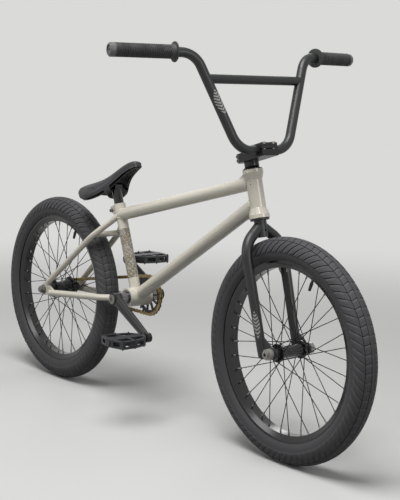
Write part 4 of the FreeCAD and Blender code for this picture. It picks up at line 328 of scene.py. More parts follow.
# %% One recipe for metal finishes
AXLE = {joint["name"]: Vector(joint["pos_m"]) for joint in frame["joints"] if "pos_m" in joint}
NIPPLE_FROM = 0.1795
ROLLER_HALF = 0.0018
DRIFT_SIZE = 0.035
COAT_ROUGHNESS = 0.12


def finish(name, colour, roughness, metallic=0.0, grain=0.0008, relief=0.00002, mottle=0.08,
           coat=0.0, **more):
    """A finish whose colour and roughness drift with soft noise over a fine grain."""
    paint = new_paint(name)
    drift = paint.noise(DRIFT_SIZE, 2.0)
    speck = paint.noise(grain, 2.0)
    darker = tuple(c * (1 - mottle) for c in colour[:3]) + (1.0,)
    lighter = tuple(min(1.0, c * (1 + mottle)) for c in colour[:3]) + (1.0,)
    tone = paint.blend(drift * 0.6 + speck * 0.4, darker, lighter)
    return paint.done(Base_Color=tone, Roughness=roughness + (drift - 0.5) * 0.07,
                      Metallic=metallic, Normal=paint.relief(speck, relief, 0.6),
                      Coat_Weight=coat, Coat_Roughness=COAT_ROUGHNESS, **more)


def pressed_finish(name, colour, deep, attribute, roughness, grain, relief, ramp_highlight=None):
    """Rubber or a cover with painted shade where the piece's own attribute says that it is low.

    With a ramp highlight, slopes that lie between high and low are paler, a painted highlight,
    and only the lowest line gets the painted shade."""
    paint = new_paint(name)
    low = paint.node("Attribute", {"attribute_name": attribute}, output="Fac")
    drift, speck = paint.noise(0.05, 3.0), paint.noise(grain, 2.0)
    dusty = tuple(c * 1.16 for c in colour[:3]) + (1.0,)
    tone = paint.blend(drift * 0.7 + speck * 0.3, colour, dusty)
    # Paler slopes between high and low: a painted highlight where the groove ramps face the light.
    if ramp_highlight:
        tone = paint.blend(low.within(0.2, 0.8, 0.25) * 0.8, tone, ramp_highlight)
    # Painted shade where the point lies low; with a ramp highlight, only at the lowest line.
    tone = paint.blend(low.above(0.86, 0.2) if ramp_highlight else low, tone, deep)
    return paint.done(Base_Color=tone, Roughness=roughness + (drift - 0.5) * 0.14 + low * 0.08,
                      Normal=paint.relief(speck, relief, 0.7))


def spoke_finish(name, dark, bright):
    """Black wire that ends in bright nipples, which lie further from the axle than the wire does.

    The distance from the axle is that to the nearer wheel's middle, in the wheels' plane."""
    paint = new_paint(name)
    reach = None
    for joint in ("front_wheel_spin", "rear_wheel_spin"):
        ahead, up = paint.along(AXLE[joint], (1, 0, 0)), paint.along(AXLE[joint], (0, 0, 1))
        far = paint.maths("SQRT", ahead * ahead + up * up)
        reach = far if reach is None else reach.smaller(far)
    nipple = reach.above(NIPPLE_FROM, 0.0004)
    drift = paint.noise(0.02, 2.0)
    return paint.done(Base_Color=paint.blend(nipple, dark, bright), Metallic=0.6 - nipple * 0.35,
                      Roughness=0.26 + drift * 0.08,
                      Normal=paint.relief(paint.noise(0.0005, 2.0), 0.00001, 0.5))


def chain_finish(name, plates, rollers):
    """Gold side plates with dark rollers between them. The middle of the chain's width is darker:
    partly the rollers' own colour, partly painted shade in the gaps between the plates.
    """
    low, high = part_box("chain")
    paint = new_paint(name)
    aside = paint.along((0, (low.y + high.y) / 2, 0), (0, 1, 0)).size()
    # Darker middle of the width: dark rollers, with painted shade in the gaps between plates.
    roller_dark_and_gap_shade = 1 - aside.above(ROLLER_HALF, 0.0005)
    grime = paint.noise(0.003, 3.0)
    tone = paint.blend(grime.above(0.55, 0.3) * 0.5, plates, rollers)
    return paint.done(Base_Color=paint.blend(roller_dark_and_gap_shade * 0.9, tone, rollers), Metallic=0.8 - grime * 0.2,
                      Roughness=0.28 + grime * 0.16, Normal=paint.relief(grime, 0.00002, 0.5))


FINISHES = {
    "frame_paint": finish("cream_enamel", rgb(202, 197, 183), 0.26, coat=0.4, mottle=0.03,
                          relief=0.000006),
    "black_paint": finish("black_powder_coat", rgb(25, 26, 27), 0.4, grain=0.0006, relief=0.00003),
    "stem_black": finish("black_anodising", rgb(30, 30, 31), 0.3, metallic=0.3, grain=0.0005),
    "post_paint": finish("gloss_black", rgb(9, 9, 10), 0.12, coat=0.3, relief=0.00001),
    "bolt_steel": finish("bolt_steel", rgb(128, 126, 121), 0.36, metallic=0.75, mottle=0.15),
    "bearing_steel": finish("turned_steel", rgb(122, 122, 124), 0.24, metallic=0.9),
    "chain_steel": chain_finish("gold_plates_dark_rollers", rgb(176, 154, 108), rgb(34, 29, 22)),
    "drive_black": finish("satin_black", rgb(22, 22, 24), 0.34),
    "crank_paint": finish("crank_grey", rgb(35, 35, 36), 0.32, metallic=0.35),
    "pedal_plastic": finish("pedal_nylon", rgb(40, 41, 44), 0.44, grain=0.0007, relief=0.00006),
    # The second colour of the grips, the saddle cover and the tyres is painted shade in their
    # grooves and seam; the tyres' last colour is a painted highlight on the ramps of their grooves.
    "grip_rubber": pressed_finish("grip_rubber", rgb(44, 45, 45), rgb(9, 9, 9), "groove", 0.64,
                                  0.0006, 0.00005),
    "bar_end_plastic": finish("bar_end_nylon", rgb(92, 93, 93), 0.44),
    "saddle_cover": pressed_finish("saddle_cover", rgb(38, 38, 41), rgb(14, 14, 15), "seam", 0.46,
                                   0.0009, 0.0001),
    "saddle_plastic": finish("saddle_nylon", rgb(12, 12, 13), 0.42),
    "tyre_rubber": pressed_finish("tyre_rubber", rgb(56, 56, 58), rgb(10, 10, 11), "groove", 0.74,
                                  0.0009, 0.00006, rgb(84, 84, 86)),
    "tube_rubber": finish("tube_rubber", rgb(30, 30, 30), 0.6),
    "rim_paint": finish("rim_black", rgb(13, 13, 14), 0.22, coat=0.2, relief=0.00001),
    "spoke_steel": spoke_finish("black_spokes_bright_nipples", rgb(26, 26, 28), rgb(158, 158, 156)),
    "hub_alloy": finish("black_hub_alloy", rgb(18, 18, 20), 0.25, coat=0.2),
}
for node, part in frame["nodes"].items():
    for place in part.material_slots:
        place.material = FINISHES[place.material.name]
NUT_STEEL = finish("axle_nut_steel", rgb(150, 148, 144), 0.32, metallic=0.6, mottle=0.12)
frame["nodes"]["front_axle_nuts"].material_slots[0].material = NUT_STEEL
print("finishes:", len(FINISHES))

# %% [markdown]
# ## Meshes from arrays
#
# Rubber, foam and welds are surfaces worked out with numpy. A surface is a grid of points, rows
# by columns, and its faces only say which four neighbours belong together. The whole grid is
# computed at once, so no loop runs over single points.

# %% Grid helpers


def add_object(name, data):
    """A new object for the data, linked to the scene."""
    made = bpy.data.objects.new(name, data)
    bpy.context.scene.collection.objects.link(made)
    return made


def turn_outward(mesh):
    """Turns every face of a closed mesh to the outside."""
    shape = bmesh.new()
    shape.from_mesh(mesh)
    bmesh.ops.recalc_face_normals(shape, faces=shape.faces)
    shape.to_mesh(mesh)
    shape.free()


def keep_values(piece, name, values):
    """Stores one number per vertex, for a finish to read."""
    shade = piece.data.attributes.new(name, "FLOAT", "POINT")
    shade.data.foreach_set("value", values.ravel())


def unit(rows):
    """Every row divided by its length."""
    return rows / np.linalg.norm(rows, axis=1, keepdims=True)


def distances(line):
    """How far along a line of points each of them lies."""
    return np.concatenate([[0], np.cumsum(np.linalg.norm(np.diff(line, axis=0), axis=1))])


def surface_tree(mesh):
    """A search tree over a mesh's faces."""
    faces = [tuple(face.vertices) for face in mesh.polygons]
    return BVHTree.FromPolygons(vertex_array(mesh).tolist(), faces)


def vertex_array(mesh, key="co"):
    """Places or normals of a mesh's vertices as an array of rows."""
    values = np.empty(len(mesh.vertices) * 3)
    mesh.vertices.foreach_get(key, values)
    return values.reshape(-1, 3)


def move_to(mesh, points):
    mesh.vertices.foreach_set("co", points.ravel())
    mesh.update()


def apply_modifiers(piece):
    """Replaces the piece's mesh by what its modifiers make of it."""
    graph = bpy.context.evaluated_depsgraph_get()
    made = bpy.data.meshes.new_from_object(piece.evaluated_get(graph), depsgraph=graph)
    piece.modifiers.clear()
    piece.data = made


def grid_faces(rows, columns, closed_rows=True, closed_columns=True):
    """Quads between neighbours of a rows x columns grid. A closed side joins its ends."""
    row = np.arange(rows if closed_rows else rows - 1)[:, None]
    column = np.arange(columns if closed_columns else columns - 1)[None, :]
    next_row, next_column = (row + 1) % rows, (column + 1) % columns
    corners = [row * columns + column, next_row * columns + column,
               next_row * columns + next_column, row * columns + next_column]
    return np.stack(corners, -1).reshape(-1, 4)


def add_mesh(name, points, faces, flat_over=35):
    """A mesh object whose edges sharper than flat_over degrees stay crisp."""
    mesh = bpy.data.meshes.new(name)
    mesh.from_pydata(np.asarray(points).reshape(-1, 3).tolist(), [], faces.tolist())
    mesh.shade_smooth()
    mesh.set_sharp_from_angle(angle=math.radians(flat_over))
    return add_object(name, mesh)


def dress(piece, body, slot, *replaced):
    """Gives a piece its finish and its body, and hides the CAD nodes it stands for."""
    piece.data.materials.clear()
    piece.data.materials.append(FINISHES[slot])
    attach(piece, body)
    if replaced:
        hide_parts(*replaced)
    print(piece.name, "faces:", len(piece.data.polygons))


# %% [markdown]
# ## Tyres
#
# A street tyre has a low block tread: a centre rib with shallow cuts, a column of blocks beside it
# and long shoulder lugs that sweep back towards the side wall. Moulds are cut the same way all
# round, so the tread is one pitch repeated eighty times. The grid follows the grooves: its rows
# lie on the groove edges and lean with the lugs, which gives crisp edges with few faces. Every
# groove is a ramp that ends at a steep wall.

# %% Tread pattern
PITCHES = 80
RIB_EDGE, BLOCK_EDGE, LUG_END = 5.6, 20.4, 49.0
GROOVE_WALL = 0.035
SHALLOW = 0.4
LUG_SWEEP = 0.95
RING_HALF, RING_DEPTH = 0.55, 1.7
TOP_SHARES = (0.0, 0.33, 0.66)
FLANGE_LAP = 3.7
# Steps round the rim's flange, in mm outwards from the rim's side and upwards from its edge.
SEAT_STEPS = ((0.35, -FLANGE_LAP), (0.35, 0.4), (-2.6, 0.4), (-2.6, -5.9), (-6.1, -5.9),
              (-6.1, 3.9))


def tread_columns(foot):
    """Distances from the crown, in mm: close together at the ring grooves and the lugs' ends."""
    plain = [0, 2.5, 8, 11, 14, 17, 23, 27, 31, 35, 39, 43, 46, 48, 49.4, 50.4, 53, 57, 61, 65]
    rings = [edge + step for edge in (RIB_EDGE, BLOCK_EDGE)
             for step in (-RING_HALF - 0.25, -RING_HALF, RING_HALF, RING_HALF + 0.25)]
    half = np.array(sorted(plain + rings + [foot]))
    return np.concatenate([-half[:0:-1], half])


def tread_rows(across):
    """Place in the pitch, from 0 to 1, and depth in mm of five rows, for every column.

    The last array says how low each point lies between the tread's top, 0, and a groove's
    bottom, 1."""
    far = np.abs(across)
    width = np.interp(far, [0, 5, 6.5, 19.6, 21, 46, 49],
                      [0.12, 0.12, 0.34, 0.12, 0.12, 0.42, 0.45])
    deep = np.interp(far, [0, 5, 6.5, 19.6, 21, 44, 49.4, 52],
                     [0.5, 0.7, 2.0, 1.8, 2.1, 2.8, 1.9, 0])
    wall = np.interp(far, [0, 48.4, 50.4, 58, 62], [0, 0, 1.5, 0.7, 0])
    ring = sum(np.abs(far - edge) <= RING_HALF + 0.01 for edge in (RIB_EDGE, BLOCK_EDGE))
    top = width + GROOVE_WALL
    places = [0 * far, width] + [top + (1 - top) * share for share in TOP_SHARES]
    depths = [0 * far, deep] + [0 * far for share in TOP_SHARES]
    depths = np.maximum(np.array(depths), np.maximum(wall, ring * RING_DEPTH))
    bottom = np.maximum(np.ptp(depths, axis=0), SHALLOW)
    return np.array(places), depths, np.maximum((depths - depths.min(0)) / bottom, ring)


def tyre(name, centre, body, replaced):
    """Carries the tread's columns round the wheel and closes the section inside the rim. How deep
    each point lies below the tread is kept as the attribute groove, for the finish.

    A column that lies w from the crown sits at the angle w / half on the round section. Past the
    tyre's foot the section steps over the rim's flange and returns along the inner wall."""
    box_low, box_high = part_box(replaced)
    half = (box_high.y - box_low.y) / 2 / MM
    rim_low, rim_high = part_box(replaced.replace("tyre", "rim"))
    rim_half = (rim_high.y - rim_low.y) / 2 / MM
    flange = (rim_high.z - rim_low.z) / 2 / MM
    radius = centre.z / MM
    middle = radius - half
    foot = half * math.acos((flange - FLANGE_LAP - middle) / half)
    across = tread_columns(foot)
    places, depths, low = tread_rows(across)
    swept = places + np.interp(np.abs(across), [0, BLOCK_EDGE, LUG_END], [0, 0, LUG_SWEEP])
    reach = half - depths
    out = middle + reach * np.cos(across / half)
    side = reach * np.sin(across / half)
    seat = [(rim_half + outward, flange + upward) for outward, upward in SEAT_STEPS]
    seat = np.array(seat + [(half - 7, flange + 4), (half - 4, middle), (half * 0.5, radius - 10)])
    inner = np.concatenate([seat, seat[::-1] * (-1, 1)])
    rows = len(places)
    out = np.hstack([out, np.tile(inner[:, 1], (rows, 1))])
    side = np.hstack([side, np.tile(inner[:, 0], (rows, 1))])
    lean = np.hstack([swept, np.tile(swept[:, -1:], (1, len(inner)))])
    pitch = np.arange(PITCHES)[:, None, None]
    angle = (2 * math.pi / PITCHES * (pitch + lean[None])).reshape(PITCHES * rows, -1)
    out, side = np.tile(out, (PITCHES, 1)), np.tile(side, (PITCHES, 1))
    points = np.stack([out * np.cos(angle), side, out * np.sin(angle)], -1) * MM + np.array(centre)
    piece = add_mesh(name, points, grid_faces(*angle.shape)[:, ::-1])
    low = np.hstack([low, np.zeros((rows, len(inner)))])
    # From groove the tyre's finish paints shade in the grooves and a highlight on their ramps.
    keep_values(piece, "groove", np.tile(low, (PITCHES, 1)))
    dress(piece, body, "tyre_rubber", replaced)


tyre("front_tyre_tread", AXLE["front_wheel_spin"], "front_wheel", "front_tyre")
tyre("rear_tyre_tread", AXLE["rear_wheel_spin"], "rear_wheel", "rear_tyre")

# %% [markdown]
# ## Grips
#
# A grip is a rubber sleeve moulded with thin rings where the palm lies, and with a herringbone of
# raised ribs beside the flange. It is a turned shape, so its surface is one grid: along the bar
# and round it, with the radius as a function of both.

# %% Turned rubber sleeve
GRIP_RADIUS = 15.5
FLANGE_RADIUS, FLANGE_WIDTH = 22.5, 3.0
COLLAR_RADIUS, COLLAR_END = 17.5, 11.0
HERRINGBONE = (13.0, 51.0)
RINGS = (53.0, 141.0)
RING_PITCH, RIB_PITCH = 3.9, 4.4
RIB_DEPTH = 1.0
RIB_LEAN, RIB_STEEPNESS = 1.6, 1.6
GRIP_BORE, GRIP_STEP, GRIP_COLUMNS = 11.2, 0.55, 96


def long_axis(node):
    """Start, direction and length of a node that is longer than it is wide, pointing outwards."""
    points = vertex_array(frame["nodes"][node].data)
    middle = points.mean(0)
    direction = np.linalg.svd(points - middle, full_matrices=False)[2][0]
    direction *= np.sign(direction[1] * middle[1] or direction[0])
    spread = (points - middle) @ direction
    return middle + direction * spread.min(), direction, np.ptp(spread)


def grip_radius(along, turn, length):
    """Radius in mm at a distance along the sleeve and an angle round it, and how deep it is cut.

    The ribs are rounded steps: a clipped cosine of the phase, which for rings is the distance
    alone and for the herringbone adds the angle from the nearest quarter, to one side before the
    middle of the patch and to the other side after it."""
    quarter = np.abs((turn / (math.pi / 2)) % 1 - 0.5) * 2
    middle = sum(HERRINGBONE) / 2
    leaning = np.abs(along - middle) / RIB_PITCH + quarter * RIB_LEAN
    inside = (along > HERRINGBONE[0]) & (along < HERRINGBONE[1])
    ringed = (along > RINGS[0]) & (along < RINGS[1])
    phase = np.where(inside, leaning, (along - RINGS[0]) / RING_PITCH)
    rib = np.clip(0.5 - RIB_STEEPNESS * np.cos(2 * math.pi * phase), 0, 1)
    cut = RIB_DEPTH * (1 - rib) * (inside | ringed)
    shoulder = np.interp(along, [0, 0.5, FLANGE_WIDTH - 0.5, FLANGE_WIDTH, FLANGE_WIDTH + 0.2,
                                 COLLAR_END, length - 1, length],
                         [FLANGE_RADIUS - 0.5, FLANGE_RADIUS, FLANGE_RADIUS, FLANGE_RADIUS - 0.5,
                          COLLAR_RADIUS, GRIP_RADIUS, GRIP_RADIUS, GRIP_RADIUS - 0.8])
    return shoulder - cut, cut / RIB_DEPTH


def turned_sleeve(name, node, bore):
    """The sleeve's outside, then its two ends down to the bore, joined through the bore."""
    start, direction, length = long_axis(node)
    length = length / MM
    fine = np.arange(HERRINGBONE[0], RINGS[1], GRIP_STEP)
    edges = [0, 0.5, FLANGE_WIDTH - 0.5, FLANGE_WIDTH, FLANGE_WIDTH + 0.2, 7, COLLAR_END,
             length - 1, length]
    along = np.unique(np.concatenate([fine, edges]))
    turn = np.linspace(0, 2 * math.pi, GRIP_COLUMNS, endpoint=False)
    radius, low = grip_radius(along[:, None], turn[None, :], length)
    ends = np.full((2, len(turn)), bore)
    radius, low = np.vstack([radius, ends]), np.vstack([low, 0 * ends])
    along = np.concatenate([along, [length, 0]])
    across = np.cross(direction, (0, 0, 1))
    across /= np.linalg.norm(across)
    upward = np.cross(across, direction)
    ring = np.cos(turn)[:, None] * upward + np.sin(turn)[:, None] * across
    points = start + (along[:, None, None] * direction + radius[..., None] * ring[None]) * MM
    made = add_mesh(name, points, grid_faces(*radius.shape), 40)
    # From groove the grip's finish paints shade in the cuts between the ribs.
    keep_values(made, "groove", low)
    return made


for side in ("left", "right"):
    grip = turned_sleeve("grip_%s_sleeve" % side, "grip_" + side, GRIP_BORE)
    dress(grip, "handlebar", "grip_rubber", "grip_" + side)

# %% [markdown]
# ## Saddle
#
# The saddle is foam under a tight cover, so its edges are round and its surface is slightly
# blown up. An even net of points is laid over the CAD pad, section by section, and left to swell
# for a moment with the cloth solver. Its underside is held where it is, because it rests on the
# plastic base. The cover has one seam, sewn after the swelling: it follows the flank round the
# tail and turns down over each side. A row of stitches lies beside the seam.

# %% Lay a net over the pad
PAD_STATIONS, PAD_COLUMNS = 84, 26
PAD_TUCK = 0.94
PAD_SHRINK = 0.0008
PAD_SWELL = 0.0025
PAD_PRESSURE = 4.0
CLOTH_STEPS = 20
SMOOTH_STEPS = 3
RAY_START = 0.2
BOLT_HOLE = 0.012
EDGE_SHARE = 0.997
WELL_RADIUS, WELL_EDGE, WELL_DEPTH = 0.0058, 0.0084, 0.0035
SADDLE_TILT = math.radians(20.5)
AHEAD = np.array([math.cos(SADDLE_TILT), 0, math.sin(SADDLE_TILT)])
UPWARD = np.array([-math.sin(SADDLE_TILT), 0, math.cos(SADDLE_TILT)])
PIVOT = np.array(next(j["pos_m"] for j in frame["joints"] if j["name"] == "seat_tilt"))


def heights(tree, ahead, across, side):
    """Height over the pivot at which a ray from far above (side 1) or below (-1) meets the pad.

    Where a ray falls through the bolt's hole, the height is taken from its neighbours."""
    start = PIVOT + AHEAD * ahead + UPWARD * side * RAY_START
    places = np.repeat(start[None], len(across), 0)
    places[:, 1] = across
    hits = [tree.ray_cast(Vector(place), Vector(-side * UPWARD))[0] for place in places]
    found = np.array([Vector(UPWARD).dot(hit - Vector(PIVOT)) if hit else np.nan for hit in hits])
    lost = np.isnan(found) | (np.abs(across) < BOLT_HOLE) & (abs(ahead) < BOLT_HOLE)
    return np.interp(across, across[~lost], found[~lost])


def half_width(first, second, ahead):
    """The pad's half width at a station: the widest place where its edges cross that plane."""
    one, other = (first - PIVOT) @ AHEAD - ahead, (second - PIVOT) @ AHEAD - ahead
    crossing = one * other < 0
    part = (one / np.where(one == other, 1, one - other))[crossing, None]
    return np.abs((first[crossing] + (second - first)[crossing] * part)[:, 1]).max()


def pad_sections(mesh):
    """Closed sections of a pad, each with rows of (ahead, across, height).

    A section's points lie at half-width times the sine of an even angle, over the top from right
    to left and back along the underside. Stations are closer together towards both ends."""
    points = vertex_array(mesh)
    tree = surface_tree(mesh)
    ends = np.empty(len(mesh.edges) * 2, dtype=int)
    mesh.edges.foreach_get("vertices", ends)
    first, second = points[ends.reshape(-1, 2).T]
    start, stop = ((points - PIVOT) @ AHEAD).min(), ((points - PIVOT) @ AHEAD).max()
    share = np.linspace(0, 1, PAD_STATIONS)
    share = share * 0.6 + (0.5 - 0.5 * np.cos(np.pi * share)) * 0.4
    stations = start + 0.0002 + share * (stop - start - 0.0004)
    edge = np.sin(np.linspace(-np.pi / 2, np.pi / 2, PAD_COLUMNS))
    edge = np.sort(np.append(edge, (-PAD_TUCK, PAD_TUCK)))
    net = []
    for ahead in stations:
        across = edge * half_width(first, second, ahead) * EDGE_SHARE
        top, under = heights(tree, ahead, across, 1), heights(tree, ahead, across, -1)
        loop = np.r_[np.c_[across, top], np.c_[across, under][-2:0:-1]]
        net.append(np.c_[np.full(len(loop), ahead), loop])
    return net


def section_net(node, name):
    """A net over a CAD pad: its sections, and smaller copies of the outer two to close the ends."""
    net = pad_sections(frame["nodes"][node].data)
    rings = [net[0] + (net[0].mean(0) - net[0]) * pull for pull in (0.8, 0.4)] + net
    rings += [net[-1] + (net[-1].mean(0) - net[-1]) * pull for pull in (0.4, 0.8)]
    grid = np.array(rings)
    places = PIVOT + grid[..., :1] * AHEAD + grid[..., 2:] * UPWARD
    places[..., 1] = grid[..., 1]
    rows, columns = grid.shape[:2]
    faces = grid_faces(rows, columns, closed_rows=False).tolist()
    faces += [list(range(columns)), list(range(rows * columns - 1, (rows - 1) * columns - 1, -1))]
    made = bpy.data.meshes.new(name)
    made.from_pydata(places.reshape(-1, 3).tolist(), [], faces)
    turn_outward(made)
    piece = add_object(name, made)
    move_to(made, vertex_array(made) - vertex_array(made, "normal") * PAD_SHRINK)
    return piece


pad = section_net("saddle_pad", "saddle_cushion")
print("net points:", len(pad.data.vertices))

# %% [markdown]
# The net is blown up as cloth, smoothed and made finer. The well round the bolt is pressed in
# afterwards, so that it keeps its edge.

# %% Swell the pad


def swell(piece, held):
    """Blows the piece up as cloth, with no point moving further than PAD_SWELL."""
    before = vertex_array(piece.data)
    pins = piece.vertex_groups.new(name="held")
    pins.add(np.flatnonzero(held).tolist(), 1.0, "REPLACE")
    cloth = piece.modifiers.new("swell", "CLOTH")
    cloth.settings.use_pressure = True
    cloth.settings.uniform_pressure_force = PAD_PRESSURE
    cloth.settings.effector_weights.gravity = 0
    cloth.settings.vertex_group_mass = "held"
    cloth.point_cache.frame_end = CLOTH_STEPS
    for step in range(1, CLOTH_STEPS + 1):
        bpy.context.scene.frame_set(step)
    apply_modifiers(piece)
    moved = vertex_array(piece.data) - before
    far = np.linalg.norm(moved, axis=1, keepdims=True)
    move_to(piece.data, before + moved * np.minimum(1, PAD_SWELL / np.maximum(far, 1e-9)))
    bpy.context.scene.frame_set(1)
    print("swollen by up to", round(min(far.max(), PAD_SWELL) / MM, 2), "mm")


def press_well(piece):
    """Sinks the cover round the bolt: full depth within a radius, and rising to its edge."""
    points = vertex_array(piece.data)
    away = points - PIVOT
    beside = np.linalg.norm(away - np.outer(away @ UPWARD, UPWARD), axis=1)
    top = vertex_array(piece.data, "normal") @ UPWARD > 0.3
    deep = np.clip((WELL_EDGE - beside) / (WELL_EDGE - WELL_RADIUS), 0, 1) * top
    move_to(piece.data, points - UPWARD * (deep * deep * (3 - 2 * deep) * WELL_DEPTH)[:, None])


swell(pad, vertex_array(pad.data, "normal") @ UPWARD < -0.05)
pad.modifiers.new("round", "SMOOTH").iterations = SMOOTH_STEPS
pad.modifiers.new("fine", "SUBSURF").levels = 1
pad.modifiers["fine"].render_levels = 1
apply_modifiers(pad)
press_well(pad)
pad.data.shade_smooth()
print("pad faces:", len(pad.data.polygons))

# %% [markdown]
# The seam is a line of places given as share of the saddle's length from the tail, and as share
# of its half width. Each place is dropped onto the swollen pad, and the points of the pad near
# that line sink into a groove with a rounded bottom.

# %% Sew the seam
SEAM_HALF, SEAM_DEPTH = 0.0022, 0.0011
SEAM_LINE = ((0.045, 0.0), (0.05, 0.35), (0.075, 0.68), (0.12, 0.82), (0.19, 0.86), (0.28, 0.88),
             (0.34, 0.895), (0.385, 0.94), (0.41, 1.0), (0.425, 1.06))
SEAM_STEPS, SEAM_SOFTEN = 600, 31
STITCH_PITCH, STITCH_LENGTH, STITCH_WIDTH = 0.0042, 0.0028, 0.0006
STITCH_SIDES, STITCH_RISE, STITCH_OFFSET = 6, 0.0004, 0.0032


def evened(values):
    """Steps of even number along a row of values, with its corners softened."""
    step = np.linspace(0, len(values) - 1, SEAM_STEPS)
    values = np.interp(step, np.arange(len(values)), values)
    soften = np.hanning(SEAM_SOFTEN) / np.hanning(SEAM_SOFTEN).sum()
    return np.convolve(np.pad(values, SEAM_SOFTEN // 2, "edge"), soften, "valid")


def seam_path(mesh):
    """The seam's points and normals on the pad, from the right side round the tail to the left."""
    shares, wide = np.array(SEAM_LINE).T
    shares = evened(np.concatenate([shares[:0:-1], shares]))
    wide = evened(np.concatenate([-wide[:0:-1], wide]))
    points = vertex_array(mesh)
    ahead = (points - PIVOT) @ AHEAD
    place = (ahead - ahead.min()) / np.ptp(ahead)
    bins = np.linspace(0, 1, 40)
    near = [np.abs(place - middle) < 0.03 for middle in bins]
    half = np.array([np.abs(points[chosen, 1]).max() for chosen in near])
    tops = np.array([((points - PIVOT) @ UPWARD)[chosen].max() for chosen in near])
    across = np.interp(shares, bins, half) * wide
    above = np.interp(shares, bins, tops) + 0.01 - np.abs(wide) ** 3 * 0.035
    start = PIVOT + AHEAD * ahead.min()
    guess = start + np.outer(shares * np.ptp(ahead), AHEAD) + np.outer(above, UPWARD)
    guess[:, 1] = across
    tree = surface_tree(mesh)
    found = [tree.find_nearest(Vector(place)) for place in guess]
    return np.array([hit[0] for hit in found]), np.array([hit[1] for hit in found])


def sink_along(piece, line):
    """Lowers points near the line: the groove's depth falls off as a raised cosine."""
    points, normals = vertex_array(piece.data), vertex_array(piece.data, "normal")
    near = np.full(len(points), 1.0)
    for chunk in np.array_split(line, 12):
        away = np.linalg.norm(points[:, None] - chunk[None], axis=2).min(1)
        near = np.minimum(near, away)
    depth = np.where(near < SEAM_HALF, 0.5 + 0.5 * np.cos(np.pi * near / SEAM_HALF), 0)
    move_to(piece.data, points - normals * (depth * SEAM_DEPTH)[:, None])
    # From seam the cover's finish paints shade along the seam's groove.
    keep_values(piece, "seam", depth)


def resample(at, run, rows):
    """Rows of three numbers, interpolated at the given distances of a run."""
    return np.stack([np.interp(at, run, rows[:, i]) for i in range(3)], -1)


def stitches(name, line, normals, offset):
    """Short rounded threads: a six-sided loop carried over a low arch, pitch by pitch."""
    run = distances(line)
    side = np.cross(normals, unit(np.gradient(line, axis=0)))
    starts = np.arange(0.002, run[-1] - 0.004, STITCH_PITCH)
    share = np.linspace(0, 1, STITCH_SIDES)
    at = starts[:, None] + share[None] * STITCH_LENGTH
    threads = (line + side * offset, normals, side)
    centre, normal, side = (resample(at, run, rows) for rows in threads)
    lift = np.sin(np.pi * share)[None, :, None] * STITCH_RISE - 0.0001
    turn = np.arange(STITCH_SIDES) / STITCH_SIDES * 2 * np.pi
    thick = np.array([0.05, 0.85, 1, 1, 0.85, 0.05])[None, :, None, None] * STITCH_WIDTH / 2
    loop = np.cos(turn)[:, None] * normal[:, :, None] + np.sin(turn)[:, None] * side[:, :, None]
    points = (centre + normal * lift)[:, :, None] + loop * thick
    one = grid_faces(STITCH_SIDES, STITCH_SIDES, closed_rows=False)
    size, count = STITCH_SIDES ** 2, len(starts)
    caps = [list(range(STITCH_SIDES)), list(range(size - 1, size - 1 - STITCH_SIDES, -1))]
    faces = (one[None] + size * np.arange(count)[:, None, None]).reshape(-1, 4).tolist()
    faces += [[corner + size * k for corner in cap] for k in range(count) for cap in caps]
    mesh = bpy.data.meshes.new(name)
    mesh.from_pydata(points.reshape(-1, 3).tolist(), [], faces)
    mesh.shade_smooth()
    turn_outward(mesh)
    return add_object(name, mesh)


seam, seam_normals = seam_path(pad.data)
sink_along(pad, seam)
dress(pad, "saddle", "saddle_cover", "saddle_pad")
thread = stitches("saddle_stitches", seam, seam_normals, STITCH_OFFSET)
dress(thread, "saddle", "saddle_cover")

# %% [markdown]
# ## Weld beads
#
# Where two tubes meet, the frame has a bead laid down drop by drop, which leaves small scales.
# The bead follows the curve where one tube's surface cuts the other's. Each straight line along
# the first tube meets the second tube where a quadratic equation says, so the whole curve comes
# out at once. A small round section is carried along it, and swells with every drop.

# %% Fit a line to a tube
BEAD_RADIUS = 2.1
DROP_PITCH = 3.2
DROP_STEPS, BEAD_SIDES, CURVE_POINTS = 8, 10, 400


def tube_line(node, inside=None):
    """A point on the tube's axis, its direction and its outer radius.

    Side faces look square to the axis, so the axis is the direction in which the face normals
    have the least spread. A face centre x with normal n on the outer wall then holds
    x.n = c.n + r, which is solved for the centre c and the radius r by least squares. For a bent
    tube, inside picks the faces of one straight run by their centres."""
    mesh = frame["nodes"][node].data
    count = len(mesh.polygons)
    centre, normal, area = np.empty(count * 3), np.empty(count * 3), np.empty(count)
    mesh.polygons.foreach_get("center", centre)
    mesh.polygons.foreach_get("normal", normal)
    mesh.polygons.foreach_get("area", area)
    centre, normal = centre.reshape(-1, 3), normal.reshape(-1, 3)
    if inside is not None:
        chosen = inside(*centre.T)
        centre, normal, area = centre[chosen], normal[chosen], area[chosen]
    axis = np.linalg.eigh((normal * area[:, None]).T @ normal)[1][:, 0]
    for attempt in range(3):
        side = np.abs(normal @ axis) < 0.05
        axis = np.linalg.eigh((normal[side] * area[side, None]).T @ normal[side])[1][:, 0]
    x, n, weight = centre[side], normal[side], np.sqrt(area[side])
    basis = np.linalg.svd(axis[None])[2][1:]
    middle = x.mean(0)
    outer = np.einsum("ij,ij->i", x - middle, n) > 0
    rows = np.c_[n @ basis.T, outer, ~outer] * weight[:, None]
    found = np.linalg.lstsq(rows, np.einsum("ij,ij->i", x - middle, n) * weight, rcond=None)[0]
    return middle + basis.T @ found[:2], axis, found[2]


